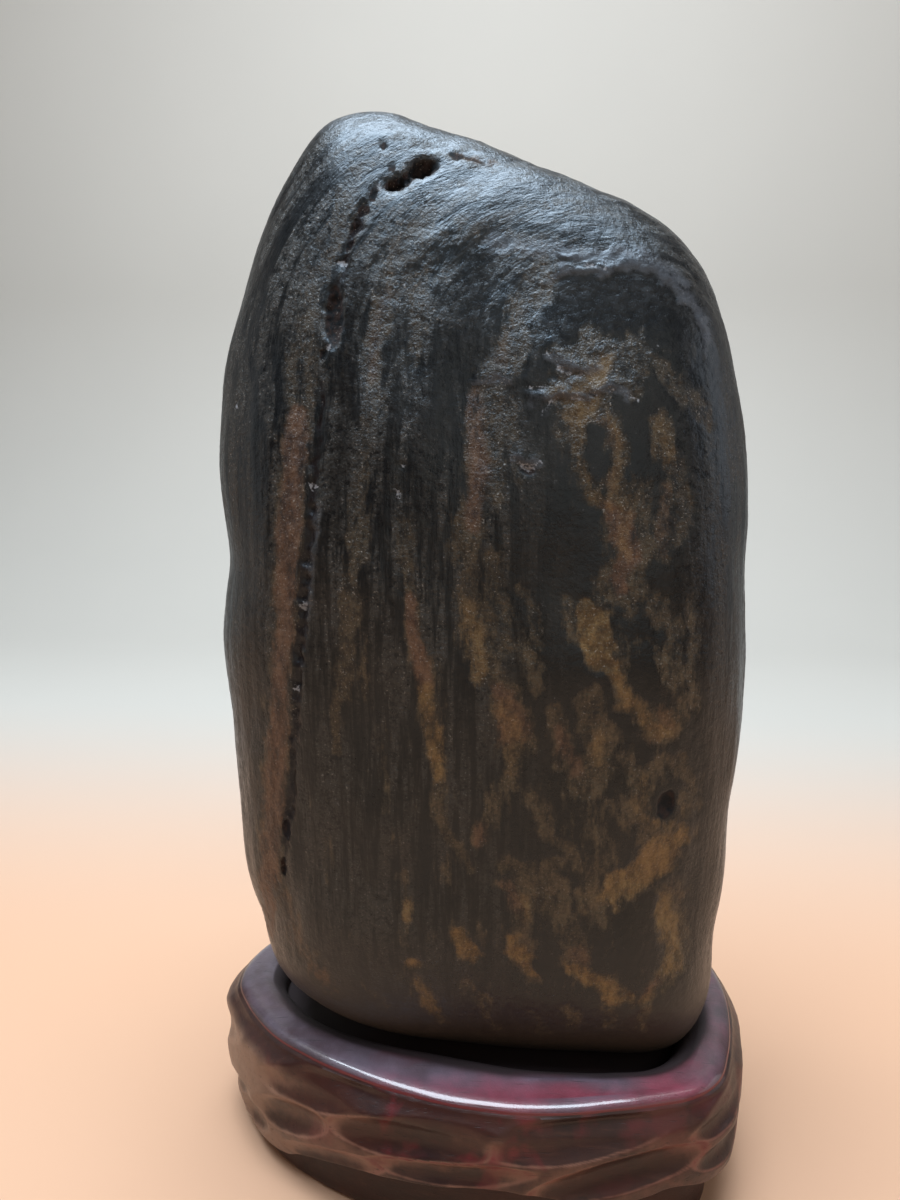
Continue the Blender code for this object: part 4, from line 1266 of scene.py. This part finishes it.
def make_stage():
    """A pale floor that turns up into a pale backdrop."""
    bm = bmesh.new()
    bmesh.ops.create_grid(bm, x_segments=1, y_segments=1, size=1)
    for vert in bm.verts:
        vert.co.x *= FLOOR_HALF_WIDTH
        vert.co.y = FLOOR_BACK if vert.co.y > 0 else FLOOR_FRONT
    far = [edge for edge in bm.edges if all(vert.co.y > FLOOR_BACK - 1 for vert in edge.verts)]
    bmesh.ops.spin(
        bm, geom=far, cent=(0, FLOOR_BACK, BACKDROP_TURN), axis=(1, 0, 0),
        angle=math.radians(90), steps=24,
    )
    top = [edge for edge in bm.edges if all(vert.co.z > BACKDROP_TURN - 1 for vert in edge.verts)]
    made = bmesh.ops.extrude_edge_only(bm, edges=top)["geom"]
    raised = [item for item in made if isinstance(item, bmesh.types.BMVert)]
    bmesh.ops.translate(bm, vec=(0, 0, BACKDROP_RISE), verts=raised)
    new_piece("pale_floor", bm, paper_finish(), sharp=80)


def add_light(name, place, aim, size, watts, colour):
    """A soft rectangular light at a place in metres, aimed at a point."""
    light = bpy.data.lights.new(name, "AREA")
    light.shape = "RECTANGLE"
    light.size, light.size_y = size
    light.energy = watts
    light.color = colour
    lamp = bpy.data.objects.new(name, light)
    lamp.location = place
    lamp.rotation_euler = (Vector(aim) - Vector(place)).to_track_quat("-Z", "Y").to_euler()
    bpy.context.scene.collection.objects.link(lamp)


# Lights: place, aim, size, watts and colour.
LIGHTS = {
    "top_soft": ((-0.08, -0.03, 0.95), (0, 0, 0.12), (0.55, 0.70), 22.0, (0.78, 0.89, 1.0)),
    "back_wash": ((0.0, 0.10, 0.9), (0, 0.9, 0.35), (1.2, 0.3), 2.0, (1.0, 0.95, 0.90)),
    "front_fill": ((0.40, -0.9, 0.5), (0, 0, 0.10), (1.0, 0.9), 2.05, (1.0, 0.85, 0.70)),
    "left_soft": ((-0.75, -0.05, 0.30), (0, 0, 0.12), (0.6, 0.5), 0.5, (1.0, 0.94, 0.88)),
    "right_soft": ((0.75, 0.0, 0.35), (0, 0, 0.12), (0.5, 0.5), 0.9, (0.98, 0.97, 1.0)),
}
SKY_COLOUR, SKY_STRENGTH = (0.85, 0.92, 1.0, 1.0), 0.08


def make_lights():
    for name, light in LIGHTS.items():
        add_light(name, *light)
    world = bpy.data.worlds.new("studio")
    world.use_nodes = True
    sky = world.node_tree.nodes["Background"]
    sky.inputs["Color"].default_value = SKY_COLOUR
    sky.inputs["Strength"].default_value = SKY_STRENGTH
    bpy.context.scene.world = world


# The camera: place in metres, turn in degrees.
CAMERA_PLACE = (0.0054, -0.1783, 0.1669)
CAMERA_TURN = (78.0, 0.0, 4.0)
LENS, SENSOR = 24.96, 36.0


def make_camera():
    camera = bpy.data.cameras.new("camera")
    camera.lens, camera.sensor_width = LENS, SENSOR
    camera.clip_start = 0.001
    holder = bpy.data.objects.new("camera", camera)
    holder.location = CAMERA_PLACE
    holder.rotation_euler = [math.radians(degrees) for degrees in CAMERA_TURN]
    bpy.context.scene.collection.objects.link(holder)
    bpy.context.scene.camera = holder
    bpy.context.scene.view_settings.view_transform = "Standard"


make_camera()
make_stage()
make_lights()
stone, stone_underside = make_stone(stone_finish())
stand = make_stand(stand_finish(), stone_underside)
for piece, node, slot in ((stone, "stone", "stone"), (stand, "stand", "wood")):
    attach(piece, "root")
    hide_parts(node)
